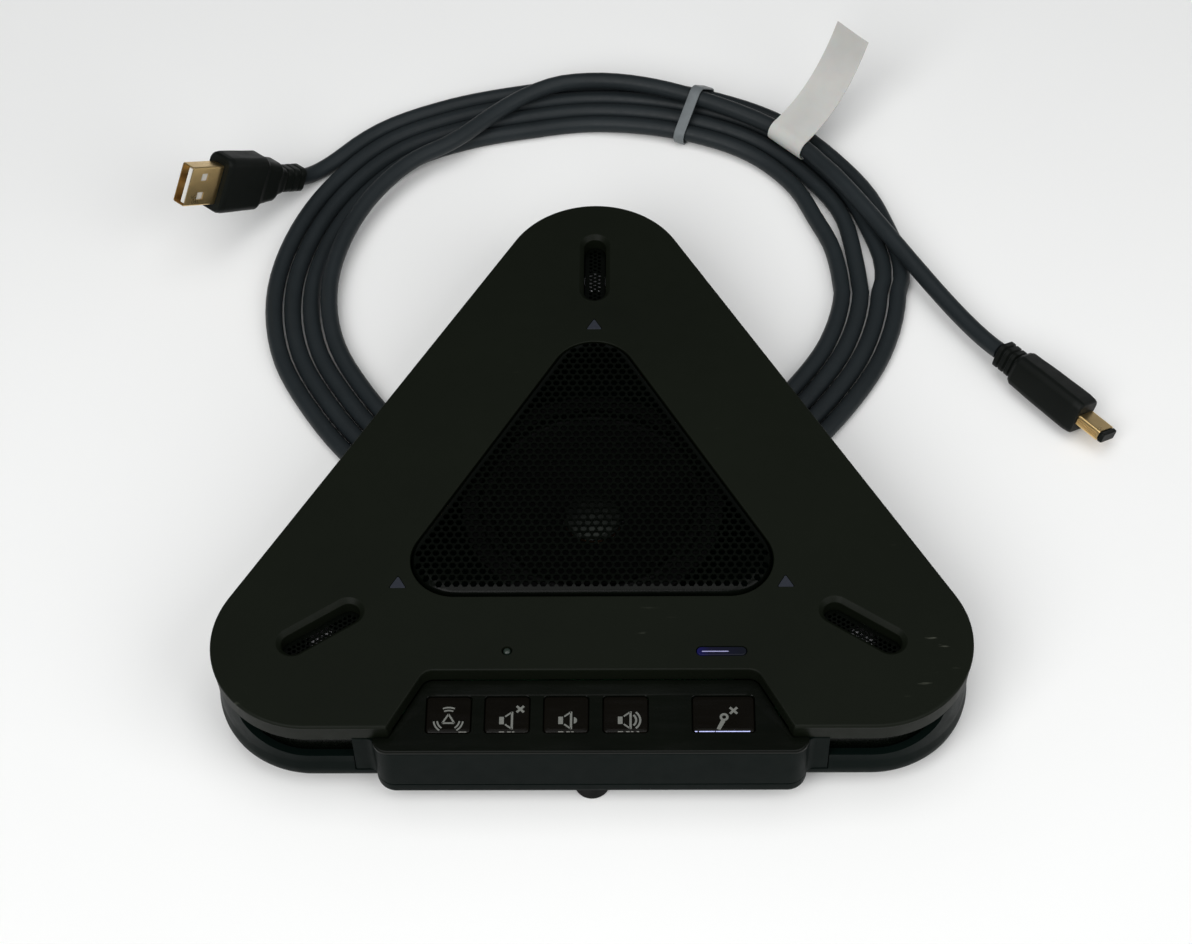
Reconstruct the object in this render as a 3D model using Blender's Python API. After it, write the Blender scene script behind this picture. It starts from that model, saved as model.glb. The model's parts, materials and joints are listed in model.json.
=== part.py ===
"""Conference speakerphone with its coiled USB lead.  Metres, +Z up, control panel towards -Y."""
import math

import bmesh
import bpy
from mathutils import Vector

MM = 0.001
FRAME_Y = 64.6        # dimensions are from the middle of the body; the frame sits on the front foot

# Whole body, in millimetres
IN_R = 65.66            # centre to each flat side of the triangular outline
CORNER_R = 25.6         # radius of the three outline corners
CORNER_SEG = 12
TOP_Z = 29.3            # flat top of the cover
SKIRT_Z = 23.0          # lower edge of the cover skirt
PLATE_T = 2.0           # cover plate
WALL = 2.0              # moulded walls
BASE_Z = 5.5            # underside of the bottom case, equal to the foot height
FLOOR_T = 2.0
RIM_Z = 22.7            # top of the bottom case wall
GAP = 0.3

# Control panel and the notch in the cover above it
PANEL_Z = 24.7
PANEL_T = 2.2
NOTCH_Y = -49.2
NOTCH_HW = 41.0
NOTCH_SLOPE = 9.0 / 17.0
NOTCH_R = 3.4
PANEL_FRONT = -70.0
PANEL_HW = 53.5
SHOULDER_Y = -65.9
WING_HW = 58.5
WING_Y = -65.5
SEAM_Z = 9.3
FRONT_R = 4.8

# Keys
KEY_Y = -59.2
KEY_D = 10.8
KEY_TRAVEL = 0.6
KEYS = (
    ("zone", -34.9, 11.4),
    ("speaker_mute", -20.5, 11.4),
    ("volume_down", -6.0, 11.4),
    ("volume_up", 8.6, 11.4),
    ("mic_mute", 32.6, 15.6),
)

# Loudspeaker
SPK_Y = 4.3
GRILLE_R = 31.5
GRILLE_CR = 11.5
GRILLE_TOP = 30.5

# Microphone slots: centre x, centre y, axis angle in degrees
SLOTS = (
    ("rear", 0.0, 82.45, 90.0),
    ("left", -67.7, -36.2, 34.5),
    ("right", 67.7, -36.2, 145.5),
)
SLOT_L = 24.4
SLOT_TOP_W = 8.4
SLOT_IN_W = 6.0
COLLAR_W = 9.2
COLLAR_Z = 24.3

# Lamps and marks
DOT = (-20.8, -43.5)
BAR = (32.4, -43.8)
MARKS = (("rear", 0.0, 61.4), ("left", -49.0, -23.35), ("right", 49.0, -23.35))
MARK_SIDE = 4.2

# Feet and screws
FOOT_R = 4.5
FEET = (("front", 0.0, -64.6), ("rear", 0.0, 80.1), ("left", -69.4, -40.06), ("right", 69.4, -40.06))
SCREWS = (
    ("rear_left", -12.0, 63.0),
    ("rear_right", 12.0, 63.0),
    ("front_left", -60.0, -46.0),
    ("front_right", 60.0, -46.0),
)

# Side sound slots, as angles round the corner arc
SIDE_Z = 15.1
SIDE_TIP_DEG = 44.0

# USB lead
CABLE_R = 2.45
RING_X = -4.0
RING_Y = 97.0
RING_R = 79.6
STRAND_PITCH = 5.35
# How far the bundle wanders from an even ring, every 15 degrees
DRIFT = (
    2.5, 2.6, 2.1, 0.4, -3.5, -6.3, -7.0, -7.4, -4.7, -0.6, 1.0, 2.3,
    3.4, 3.0, 1.1, 0.9, 0.8, -0.2, -1.4, -2.6, -3.2, -3.0, -2.1, 0.5,
)
JOIN_DEG = 143.0
LEAVE_DEG = 32.0
STEP_DEG = 10.0
UPPER_LIFT = 6.15       # how far the last strand rides above the flat ones
TIE_DEG = 64.5
TIE_LIFT = 1.12          # the tie raises the bundle this much
TIE_W = 3.2
LABEL_DEG = 41.2
LABEL_W = 12.4
LABEL_T = 0.35
LABEL_RISE = 21.6

# Plugs: root where the lead enters the grip, then azimuth, elevation and roll in degrees
USB_A_ROOT = (-88.6, 139.6, 5.5)
USB_A_TURN = (226.2, 35.0, 5.9)
MINI_ROOT = (113.2, 70.6, 6.3)
MINI_TURN = (-48.4, 0.0, -26.0)


def clear_scene():
    for obj in list(bpy.data.objects):
        bpy.data.objects.remove(obj, do_unlink=True)


def material(name, rgb, rough=0.5, metal=0.0):
    mat = bpy.data.materials.new(name)
    mat.use_nodes = True
    shader = mat.node_tree.nodes["Principled BSDF"]
    shader.inputs["Base Color"].default_value = (rgb[0], rgb[1], rgb[2], 1.0)
    shader.inputs["Roughness"].default_value = rough
    shader.inputs["Metallic"].default_value = metal
    mat.diffuse_color = (rgb[0], rgb[1], rgb[2], 1.0)
    return mat


def add_mesh(name, verts, faces, mat=None, origin=(0.0, 0.0, 0.0), sharp_deg=35.0):
    """Make an object from millimetre vertices with its origin at the given millimetre point."""
    ox, oy, oz = origin
    mesh = bpy.data.meshes.new(name)
    mesh.from_pydata([((x - ox) * MM, (y - oy) * MM, (z - oz) * MM) for x, y, z in verts], [], faces)
    bm = bmesh.new()
    bm.from_mesh(mesh)
    bmesh.ops.recalc_face_normals(bm, faces=bm.faces)
    for face in bm.faces:
        face.smooth = True
    for edge in bm.edges:
        edge.smooth = edge.calc_face_angle(0.0) < math.radians(sharp_deg)
    bm.to_mesh(mesh)
    bm.free()
    obj = bpy.data.objects.new(name, mesh)
    obj.location = (ox * MM, (oy + FRAME_Y) * MM, oz * MM)
    bpy.context.collection.objects.link(obj)
    if mat is not None:
        mesh.materials.append(mat)
    return obj


def loft_data(loops):
    """Closed tube through equal loops, capped at both ends."""
    count = len(loops[0])
    verts = [point for loop in loops for point in loop]
    faces = []
    for row in range(len(loops) - 1):
        base = row * count
        for i in range(count):
            j = (i + 1) % count
            faces.append((base + i, base + j, base + count + j, base + count + i))
    last = (len(loops) - 1) * count
    faces.append(tuple(range(count - 1, -1, -1)))
    faces.append(tuple(range(last, last + count)))
    return verts, faces


def loft(name, loops, mat=None, origin=(0.0, 0.0, 0.0)):
    verts, faces = loft_data(loops)
    return add_mesh(name, verts, faces, mat, origin)


def at_z(points, z):
    return [(x, y, z) for x, y in points]


def prism_data(points, low, high):
    return loft_data([at_z(points, low), at_z(points, high)])


def joined(parts):
    """Several closed solids as one vertex and face list."""
    verts = []
    faces = []
    for part_verts, part_faces in parts:
        base = len(verts)
        verts.extend(part_verts)
        faces.extend([tuple(base + i for i in face) for face in part_faces])
    return verts, faces


def arc(cx, cy, radius, start, end, seg):
    points = []
    for i in range(seg + 1):
        angle = math.radians(start + (end - start) * i / seg)
        points.append((cx + radius * math.cos(angle), cy + radius * math.sin(angle)))
    return points


def triangle(in_radius, corner_r, inset=0.0, cy=0.0, seg=CORNER_SEG):
    """Rounded triangle pointing to +Y, moved inwards by inset."""
    reach = 2.0 * (in_radius - corner_r)
    points = []
    for mid in (90.0, 210.0, 330.0):
        x = reach * math.cos(math.radians(mid))
        y = reach * math.sin(math.radians(mid)) + cy
        points.extend(arc(x, y, corner_r - inset, mid - 60.0, mid + 60.0, seg))
    return points


def body_loop(inset, z):
    return at_z(triangle(IN_R, CORNER_R, inset), z)


def circle(cx, cy, radius, seg=24):
    return arc(cx, cy, radius, 0.0, 360.0 - 360.0 / seg, seg - 1)


def rounded_rect(cx, cy, hx, hy, radius, seg=3):
    points = []
    for sx, sy, start in ((1, 1, 0.0), (-1, 1, 90.0), (-1, -1, 180.0), (1, -1, 270.0)):
        px = cx + sx * (hx - radius)
        py = cy + sy * (hy - radius)
        points.extend(arc(px, py, radius, start, start + 90.0, seg))
    return points


def capsule(cx, cy, length, width, deg, seg=6):
    """Straight slot outline with round ends, its long axis at deg."""
    radius = width / 2.0
    half = length / 2.0 - radius
    dx = math.cos(math.radians(deg))
    dy = math.sin(math.radians(deg))
    points = arc(cx + half * dx, cy + half * dy, radius, deg - 90.0, deg + 90.0, seg)
    points += arc(cx - half * dx, cy - half * dy, radius, deg + 90.0, deg + 270.0, seg)
    return points


def lathe_data(profile, cx, cy, seg=24, ring=False):
    """Turn (radius, z) points about a vertical axis; ring closes the profile on itself."""
    verts = []
    rows = []
    for radius, z in profile:
        if radius < 1e-6:
            rows.append([len(verts)] * seg)
            verts.append((cx, cy, z))
            continue
        rows.append(list(range(len(verts), len(verts) + seg)))
        verts.extend([(x, y, z) for x, y in circle(cx, cy, radius, seg)])
    faces = []
    pairs = len(rows) if ring else len(rows) - 1
    for row in range(pairs):
        lower = rows[row]
        upper = rows[(row + 1) % len(rows)]
        for i in range(seg):
            j = (i + 1) % seg
            face = []
            for index in (lower[i], lower[j], upper[j], upper[i]):
                if index not in face:
                    face.append(index)
            if len(face) > 2:
                faces.append(tuple(face))
    return verts, faces


def lathe(name, profile, cx, cy, mat, seg=24, ring=False, origin=(0.0, 0.0, 0.0)):
    verts, faces = lathe_data(profile, cx, cy, seg, ring)
    return add_mesh(name, verts, faces, mat, origin)


def box_data(x0, x1, y0, y1, z0, z1):
    return prism_data([(x0, y0), (x1, y0), (x1, y1), (x0, y1)], z0, z1)


def combine(target, name, parts, operation):
    """Boolean several closed solids, kept hidden, with the target."""
    verts, faces = joined(parts)
    tool = add_mesh(name, verts, faces)
    tool.hide_render = True
    tool.display_type = 'WIRE'
    tool.hide_set(True)
    mod = target.modifiers.new(name, 'BOOLEAN')
    mod.operation = operation
    mod.solver = 'EXACT'
    mod.object = tool


def notch_half(y, out=0.0):
    """Half width of the notch at y, moved outwards by out."""
    side = out * math.sqrt(1.0 + NOTCH_SLOPE * NOTCH_SLOPE)
    return NOTCH_HW + (NOTCH_Y - y) * NOTCH_SLOPE + side


def notch_outline(out, front, back_out=None):
    """Notch outline from the front line round the back corners and out again."""
    back = NOTCH_Y + (out if back_out is None else back_out)
    slope_deg = math.degrees(math.atan2(1.0, NOTCH_SLOPE))
    corner = NOTCH_R + max(out, -1.0)
    turn = 180.0 - slope_deg
    cut = corner * math.tan(math.radians((180.0 - turn) / 2.0))
    x_back = notch_half(back, out) - cut
    right = arc(x_back, back - corner, corner, 90.0 - (180.0 - turn), 90.0, 4)
    right = right[::-1]
    points = [(-x, y) for x, y in right[::-1]] + right
    points.append((notch_half(front, out), front))
    points.append((-notch_half(front, out), front))
    return points


def ring_path(inset, deg_end, seg):
    """Points of the body side from the bezel wing round the left front corner, with its inset."""
    cx = -2.0 * (IN_R - CORNER_R) * math.cos(math.radians(30.0))
    cy = -(IN_R - CORNER_R)
    straight = [(-WING_HW + 0.2 - 1.8 * i, -IN_R + inset) for i in range(6)]
    straight = [point for point in straight if point[0] > cx + 0.2]
    return straight + arc(cx, cy, CORNER_R - inset, 270.0, 270.0 - deg_end, seg)


def crescent(outer_in, inner_in, rise, deg_end, seg, top, low, mirror):
    """Band that follows the corner; its lower edge rises towards the tip."""
    outer = ring_path(outer_in, deg_end, seg)
    inner = ring_path(inner_in, deg_end, seg)
    bend = len(outer) - seg - 1
    loops = []
    for i in range(len(outer)):
        t = max(0.0, (i - bend) / seg)
        z = low + rise * (1.0 - math.sqrt(max(0.0, 1.0 - t * t)))
        loop = [(outer[i][0], outer[i][1], z), (outer[i][0], outer[i][1], top)]
        loop += [(inner[i][0], inner[i][1], top), (inner[i][0], inner[i][1], z)]
        loops.append([(x * mirror, y, z2) for x, y, z2 in loop])
    return loft_data(loops)


def build_cover(mat):
    loops = [
        body_loop(WALL + 0.3, TOP_Z - PLATE_T),
        body_loop(WALL + 0.3, SKIRT_Z),
        body_loop(0.35, SKIRT_Z),
        body_loop(0.35, TOP_Z - 1.2),
        body_loop(0.0, TOP_Z - 0.9),
        body_loop(0.0, TOP_Z - 0.4),
        body_loop(0.4, TOP_Z),
    ]
    cover = loft("top_cover", loops, mat)
    inside = TOP_Z - 1.0
    ribs = [prism_data(notch_outline(1.8, -64.4), PANEL_Z + 0.25, inside)]
    for _, cx, cy, deg in SLOTS:
        outline = capsule(cx, cy, SLOT_L - SLOT_TOP_W + COLLAR_W, COLLAR_W, deg)
        ribs.append(prism_data(outline, COLLAR_Z, inside))
    for _, cx, cy in SCREWS:
        ribs.append(prism_data(circle(cx, cy, 3.2, 16), 10.5, inside))
    combine(cover, "tool_cover_ribs", ribs, 'UNION')
    cuts = [prism_data(notch_outline(0.0, -69.0), SKIRT_Z - 2.0, TOP_Z + 2.0)]
    opening = triangle(GRILLE_R, GRILLE_CR, 0.0, SPK_Y, 8)
    cuts.append(prism_data(opening, TOP_Z - PLATE_T - 1.0, TOP_Z + 1.0))
    for _, cx, cy, deg in SLOTS:
        wide = capsule(cx, cy, SLOT_L + 0.4, SLOT_TOP_W + 0.4, deg)
        narrow = capsule(cx, cy, SLOT_L - SLOT_TOP_W + SLOT_IN_W, SLOT_IN_W, deg)
        cuts.append(loft_data([
            at_z(narrow, COLLAR_Z - 1.0),
            at_z(narrow, TOP_Z - 1.2),
            at_z(wide, TOP_Z + 0.2),
        ]))
    for _, cx, cy in MARKS:
        cuts.append(prism_data(mark_outline(cx, cy, MARK_SIDE + 0.5), TOP_Z - 4.0, TOP_Z + 1.0))
    cuts.append(prism_data(circle(DOT[0], DOT[1], 1.25, 16), TOP_Z - 4.0, TOP_Z + 1.0))
    cuts.append(prism_data(capsule(BAR[0], BAR[1], 12.8, 2.9, 0.0), TOP_Z - 4.0, TOP_Z + 1.0))
    for _, cx, cy in SCREWS:
        cuts.append(prism_data(circle(cx, cy, 1.65, 12), 9.5, 20.0))
    combine(cover, "tool_cover_cuts", cuts, 'DIFFERENCE')


def mark_outline(cx, cy, side):
    reach = side / math.sqrt(3.0)
    points = []
    for deg in (90, 210, 330):
        ang = math.radians(deg)
        points.append((cx + reach * math.cos(ang), cy + reach * math.sin(ang)))
    return points


def lip_outline(inset, back):
    """Front block of the base in plan, with round front corners."""
    hw = PANEL_HW - inset
    front = PANEL_FRONT + inset
    radius = FRONT_R + 0.2 - inset
    points = arc(-hw + radius, front + radius, radius, 180.0, 270.0, 5)
    points += arc(hw - radius, front + radius, radius, 270.0, 360.0, 5)
    points += [(hw, back), (-hw, back)]
    return points


def build_base(mat):
    loops = [
        body_loop(WALL + 1.9, BASE_Z + FLOOR_T),
        body_loop(WALL + 0.5, 13.4),
        body_loop(WALL + 0.4, RIM_Z),
        body_loop(0.5, RIM_Z),
        body_loop(0.5, 13.0),
        body_loop(0.0, 9.0),
        body_loop(0.2, 7.0),
        body_loop(0.8, 6.0),
        body_loop(1.8, BASE_Z),
    ]
    base = loft("bottom_case", loops, mat)
    adds = [loft_data([
        at_z(lip_outline(0.6, -60.0), BASE_Z),
        at_z(lip_outline(0.0, -60.0), 6.3),
        at_z(lip_outline(0.0, -60.0), SEAM_Z - 0.15),
    ])]
    inside = BASE_Z + FLOOR_T - 0.8
    for _, cx, cy in SCREWS:
        adds.append(prism_data(circle(cx, cy, 4.4, 16), inside, 10.2))
    for cx, cy in ((-32.0, -52.0), (32.0, -52.0), (-32.0, -18.0), (32.0, -18.0)):
        adds.append(prism_data(circle(cx, cy, 2.0, 10), inside, 9.1))
    for cx in (-43.0, 43.0):
        adds.append(prism_data(circle(cx, -57.3, 2.4, 10), inside, 15.1))
    combine(base, "tool_base_adds", adds, 'UNION')
    bands = []
    for sign in (1.0, -1.0):
        bands.append(crescent(-2.0, WALL + 3.0, 7.9, SIDE_TIP_DEG, 10, RIM_Z + 2.0, SIDE_Z, sign))
    combine(base, "tool_base_bands", bands, 'DIFFERENCE')
    cuts = [box_data(-WING_HW - GAP, WING_HW + GAP, -75.0, -61.5, SEAM_Z - 0.15, RIM_Z + 3.0)]
    for _, cx, cy in FEET:
        cuts.append(prism_data(circle(cx, cy, FOOT_R + 0.3, 24), BASE_Z - 1.0, BASE_Z + 0.8))
    screw_hole = [
        (0.0, BASE_Z - 1.0),
        (3.2, BASE_Z - 1.0),
        (3.2, 7.7),
        (1.8, 7.7),
        (1.8, 11.0),
        (0.0, 11.0),
    ]
    for _, cx, cy in SCREWS:
        cuts.append(lathe_data(screw_hole, cx, cy, 16))
    cuts.append(socket_block(4.4, 2.6, -1.0, 8.0))
    combine(base, "tool_base_cuts", cuts, 'DIFFERENCE')


def socket_block(half_w, half_h, inset_out, inset_in):
    """Box across the middle of the right-hand side, from one inset to another."""
    nx = math.cos(math.radians(30.0))
    ny = math.sin(math.radians(30.0))
    corners = []
    for inset, side in ((inset_out, -1), (inset_out, 1), (inset_in, 1), (inset_in, -1)):
        reach = IN_R - inset
        corners.append((reach * nx - side * half_w * ny, reach * ny + side * half_w * nx))
    return prism_data(corners, 14.6 - half_h, 14.6 + half_h)


def bezel_outline(out):
    """Plan line of the front face, wing to wing; out is the inward offset."""
    hw = PANEL_HW - out
    front = PANEL_FRONT + out
    radius = FRONT_R - out
    wing = WING_Y + out
    fillet = 2.2 + out
    left = [(-WING_HW, wing)]
    left += arc(-hw - fillet, wing - fillet, fillet, 90.0, 0.0, 4)[0:4]
    left += arc(-hw + radius, front + radius, radius, 180.0, 270.0, 5)
    right = [(-x, y) for x, y in left[::-1]]
    return left + right


def build_bezel(mat):
    outer = bezel_outline(0.0)
    inner = bezel_outline(WALL)
    ring = outer + inner[::-1]
    loft("front_bezel", [at_z(ring, SEAM_Z), at_z(ring, PANEL_Z - PANEL_T - GAP)], mat)


def panel_outline(inset=0.0):
    shoulder = SHOULDER_Y
    back = notch_outline(-0.4 - inset, shoulder, 1.2 - inset)
    points = back[:-2]
    points.append((notch_half(shoulder, -0.4 - inset), shoulder))
    hw = PANEL_HW - inset
    points.append((hw, shoulder - inset))
    radius = FRONT_R
    front = PANEL_FRONT + inset
    points += arc(hw - radius, front + radius - 0.8, radius - 0.8, 0.0, -90.0, 5)[1:]
    mirrored = [(-x, y) for x, y in points[len(back) - 2:][::-1]]
    return points + mirrored


def build_panel(mat):
    low = PANEL_Z - PANEL_T
    loops = [
        at_z(panel_outline(), low),
        at_z(panel_outline(), PANEL_Z - 0.4),
        at_z(panel_outline(0.3), PANEL_Z),
    ]
    panel = loft("control_panel", loops, mat)
    cuts = []
    for _, cx, width in KEYS:
        well = rounded_rect(cx, KEY_Y, width / 2.0, KEY_D / 2.0, 1.0)
        cuts.append(prism_data(well, low - 1.0, PANEL_Z + 1.0))
    combine(panel, "tool_panel_cuts", cuts, 'DIFFERENCE')


def build_keys(key_mat, stem_mat, base_mat):
    for key, cx, width in KEYS:
        hx = width / 2.0 - 0.25
        hy = KEY_D / 2.0 - 0.25
        loops = [
            at_z(rounded_rect(cx, KEY_Y, hx + 0.8, hy + 0.8, 1.0), 21.2),
            at_z(rounded_rect(cx, KEY_Y, hx + 0.8, hy + 0.8, 1.0), 22.1),
            at_z(rounded_rect(cx, KEY_Y, hx, hy, 0.9), 22.1),
            at_z(rounded_rect(cx, KEY_Y, hx, hy, 0.9), PANEL_Z - 0.3),
            at_z(rounded_rect(cx, KEY_Y, hx - 0.3, hy - 0.3, 0.8), PANEL_Z),
        ]
        loft("key_" + key, loops, key_mat, (cx, KEY_Y, 22.0))
        lathe("switch_stem_" + key, [(0.0, 19.0), (1.7, 19.0), (1.7, 20.7), (1.4, 20.9), (0.0, 20.9)],
              cx, KEY_Y, stem_mat, 16, origin=(cx, KEY_Y, 20.0))
        well = circle(cx, KEY_Y, 2.2, 16)
        square = []
        for x, y in well:
            reach = max(abs(x - cx), abs(y - KEY_Y))
            square.append((cx + (x - cx) / reach * 3.0, KEY_Y + (y - KEY_Y) / reach * 3.0))
        loft("switch_base_" + key, [
            at_z(square, 17.3),
            at_z(square, 20.2),
            at_z(well, 20.2),
            at_z(well, 18.1),
        ], base_mat)


def build_speaker(frame_mat, magnet_mat, cone_mat, cap_mat, soft_mat, coil_mat):
    lathe("speaker_frame", [
        (34.0, 25.8), (34.0, 27.0), (29.7, 27.0), (29.7, 25.4), (28.9, 21.6), (14.6, 16.0),
        (8.6, 16.0), (8.6, 15.0), (15.0, 15.0), (30.0, 21.0), (31.4, 25.6),
    ], 0.0, SPK_Y, frame_mat, 32, ring=True)
    lathe("speaker_magnet", [
        (0.0, 8.0), (13.2, 8.0), (14.0, 8.8), (14.0, 14.7), (7.9, 14.7),
        (7.9, 9.5), (5.9, 9.5), (5.9, 14.7), (0.0, 14.7),
    ], 0.0, SPK_Y, magnet_mat, 24)
    origin = (0.0, SPK_Y, 18.0)
    lathe("speaker_cone", [
        (8.0, 18.3), (25.6, 24.6), (25.6, 25.4), (8.0, 19.1),
    ], 0.0, SPK_Y, cone_mat, 32, True, origin)
    lathe("dust_cap", [
        (0.0, 20.6), (4.4, 20.2), (7.6, 19.4), (7.7, 19.8), (7.0, 20.6), (4.2, 21.5), (0.0, 22.0),
    ], 0.0, SPK_Y, cap_mat, 24, origin=origin)
    lathe("voice_coil", [
        (6.5, 11.6), (7.3, 11.6), (7.3, 19.0), (6.5, 19.0),
    ], 0.0, SPK_Y, coil_mat, 24, True, origin)
    lathe("speaker_surround", [
        (26.0, 24.9), (27.0, 26.2), (27.7, 26.5), (28.4, 26.2), (29.4, 24.9),
        (29.0, 24.7), (28.2, 25.7), (27.7, 25.9), (27.2, 25.7), (26.4, 24.7),
    ], 0.0, SPK_Y, soft_mat, 32, True)


def build_grille(mat):
    def loop(inset, z):
        return at_z(triangle(GRILLE_R, GRILLE_CR, inset, SPK_Y, 8), z)

    loft("speaker_grille", [
        loop(4.0, GRILLE_TOP - 0.8),
        loop(2.6, GRILLE_TOP - 1.1),
        loop(1.5, GRILLE_TOP - 1.9),
        loop(1.4, TOP_Z - 1.7),
        loop(0.5, TOP_Z - 1.7),
        loop(0.5, TOP_Z - 0.2),
        loop(0.9, TOP_Z + 0.5),
        loop(2.0, TOP_Z + 1.0),
        loop(3.6, GRILLE_TOP),
    ], mat)


def build_slots(mesh_mat, mic_mat):
    for name, cx, cy, deg in SLOTS:
        outline = capsule(cx, cy, SLOT_L - SLOT_TOP_W + 5.5, 5.5, deg, 5)
        loft("slot_mesh_" + name, [at_z(outline, 24.4), at_z(outline, 25.0)], mesh_mat)
        lathe("microphone_" + name, [
            (0.0, 18.4), (3.4, 18.4), (3.6, 18.7), (3.6, 23.0),
            (3.2, 23.3), (1.2, 23.3), (1.0, 22.7), (0.0, 22.7),
        ], cx, cy, mic_mat, 20)


def build_side_mesh(mat):
    for name, sign in (("left", 1.0), ("right", -1.0)):
        verts, faces = crescent(WALL + 0.8, WALL + 1.6, 4.0, SIDE_TIP_DEG + 4.0, 10, 22.3, 14.2, sign)
        add_mesh("side_mesh_" + name, verts, faces, mat)


def build_lamps(bar_mat, dot_mat, mark_mat):
    bar = capsule(BAR[0], BAR[1], 12.3, 2.4, 0.0)
    foot = capsule(BAR[0], BAR[1], 14.0, 4.1, 0.0)
    low = TOP_Z - PLATE_T
    loft("lamp_bar", [
        at_z(foot, low - 1.2),
        at_z(foot, low - 0.2),
        at_z(bar, low - 0.2),
        at_z(bar, TOP_Z + 0.05),
    ], bar_mat)
    lathe("lamp_dot", [
        (0.0, low - 1.2), (1.9, low - 1.2), (1.9, low - 0.2), (0.95, low - 0.2),
        (0.95, TOP_Z - 0.2), (0.6, TOP_Z), (0.0, TOP_Z + 0.05),
    ], DOT[0], DOT[1], dot_mat, 16)
    for name, cx, cy in MARKS:
        slim = mark_outline(cx, cy, MARK_SIDE)
        wide = mark_outline(cx, cy, MARK_SIDE + 2.6)
        loft("zone_mark_" + name, [
            at_z(wide, low - 1.0),
            at_z(wide, low - 0.2),
            at_z(slim, low - 0.2),
            at_z(slim, TOP_Z),
        ], mark_mat)


def build_boards(board_mat, socket_mat):
    outline = rounded_rect(0.0, -35.0, 36.0, 21.0, 2.0, 2)
    loft("main_board", [at_z(outline, 9.4), at_z(outline, 11.0)], board_mat)
    outline = rounded_rect(0.0, -59.2, 47.0, 6.8, 1.0, 2)
    loft("key_board", [at_z(outline, 15.4), at_z(outline, 17.0)], board_mat)
    verts, faces = socket_block(4.0, 2.2, 1.3, 7.6)
    socket = add_mesh("usb_socket", verts, faces, socket_mat)
    combine(socket, "tool_socket_mouth", [socket_block(3.5, 1.7, 0.6, 6.6)], 'DIFFERENCE')


def build_feet(foot_mat, screw_mat):
    for name, cx, cy in FEET:
        lathe("foot_" + name, [
            (0.0, 0.0),
            (FOOT_R - 0.7, 0.0),
            (FOOT_R, 0.7),
            (FOOT_R, BASE_Z + 0.5),
            (0.0, BASE_Z + 0.5),
        ], cx, cy, foot_mat, 24)
    for name, cx, cy in SCREWS:
        lathe("screw_" + name, [
            (0.0, 6.7), (1.0, 6.7), (1.2, 6.1), (2.6, 6.1), (2.8, 6.4),
            (2.8, 7.4), (1.4, 7.4), (1.4, 17.4), (0.7, 18.2), (0.0, 18.2),
        ], cx, cy, screw_mat, 16)


def bump(x, low, high):
    """Smooth step from 0 at low to 1 at high."""
    t = min(1.0, max(0.0, (x - low) / (high - low)))
    return t * t * (3.0 - 2.0 * t)


def drift(deg):
    """Smooth closed curve through the DRIFT values."""
    spot = (deg % 360.0) / 15.0
    i = int(spot)
    t = spot - i
    a, b, c, d = (DRIFT[(i + k) % len(DRIFT)] for k in (-1, 0, 1, 2))
    curve = 2.0 * a - 5.0 * b + 4.0 * c - d + t * (3.0 * (b - c) + d - a)
    return b + 0.5 * t * (c - a + t * curve)


def parting(turn, deg):
    """Two gaps on the right where neighbouring strands stand apart."""
    inner = 1.5 * math.exp(-((deg - 22.0) / 8.0) ** 2)
    outer = 1.6 * math.exp(-((deg - 7.0) / 8.0) ** 2)
    if turn > 4.0:
        return 0.0
    if turn > 2.83:
        return -inner - 0.4 * outer
    if turn > 1.83:
        return 0.6 * inner - 0.4 * outer
    return 0.6 * inner + outer


def coil_radius(turn):
    """Distance from the ring centre after so many turns: one strand further in for each turn."""
    inwards = (2.0 - min(turn, 4.04)) * STRAND_PITCH
    outer = RING_R + 1.4 + 4.8 * (1.0 - bump(turn, 4.15, 4.26))
    back_out = bump(turn, 4.03, 4.14) * (outer - (RING_R - 2.04 * STRAND_PITCH))
    return RING_R + inwards + back_out


def coil_point(turn):
    """Centre of the lead on the ring, clockwise from where the USB-A end joins it."""
    deg = (JOIN_DEG - 360.0 * turn) % 360.0
    rise = UPPER_LIFT * bump(turn, 3.8, 4.01)
    off_tie = abs((deg - TIE_DEG + 180.0) % 360.0 - 180.0)
    rise += TIE_LIFT * (1.0 - bump(off_tie, 6.0, 30.0))
    radius = coil_radius(turn) + drift(deg) + parting(turn, deg)
    angle = math.radians(deg)
    return (RING_X + radius * math.cos(angle), RING_Y + radius * math.sin(angle), CABLE_R + rise)


def bezier(p0, p1, p2, p3, count):
    points = []
    for i in range(1, count + 1):
        t = i / count
        s = 1.0 - t
        weights = (s * s * s, 3.0 * s * s * t, 3.0 * s * t * t, t * t * t)
        points.append(tuple(sum(w * p[k] for w, p in zip(weights, (p0, p1, p2, p3))) for k in range(3)))
    return points


def lead_points(step_deg):
    """Whole lead: four flat turns, outermost first, and the two ends."""
    total = 4.0 + (JOIN_DEG - LEAVE_DEG) / 360.0
    count = int(round(total * 360.0 / step_deg))
    coil = [coil_point(total * i / count) for i in range(count + 1)]
    back = (Vector(coil[0]) - Vector(coil[1])).normalized()
    pull = Vector(coil[0]) + back * 6.0
    nose = Vector(USB_A_ROOT) - plug_frame(USB_A_TURN)[0] * 6.0
    start = [USB_A_ROOT] + bezier(USB_A_ROOT, tuple(nose), tuple(pull), coil[0], 5)[:-1]
    ahead = (Vector(coil[-1]) - Vector(coil[-2])).normalized()
    mid = Vector(coil[-1]) + ahead * 20.0 + Vector((0.0, 0.0, 2.0))
    lean = Vector(MINI_ROOT) - plug_frame(MINI_TURN)[0] * 20.0 - Vector((0.0, 0.0, 2.5))
    return start + coil + bezier(coil[-1], tuple(mid), tuple(lean), MINI_ROOT, 9)


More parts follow.
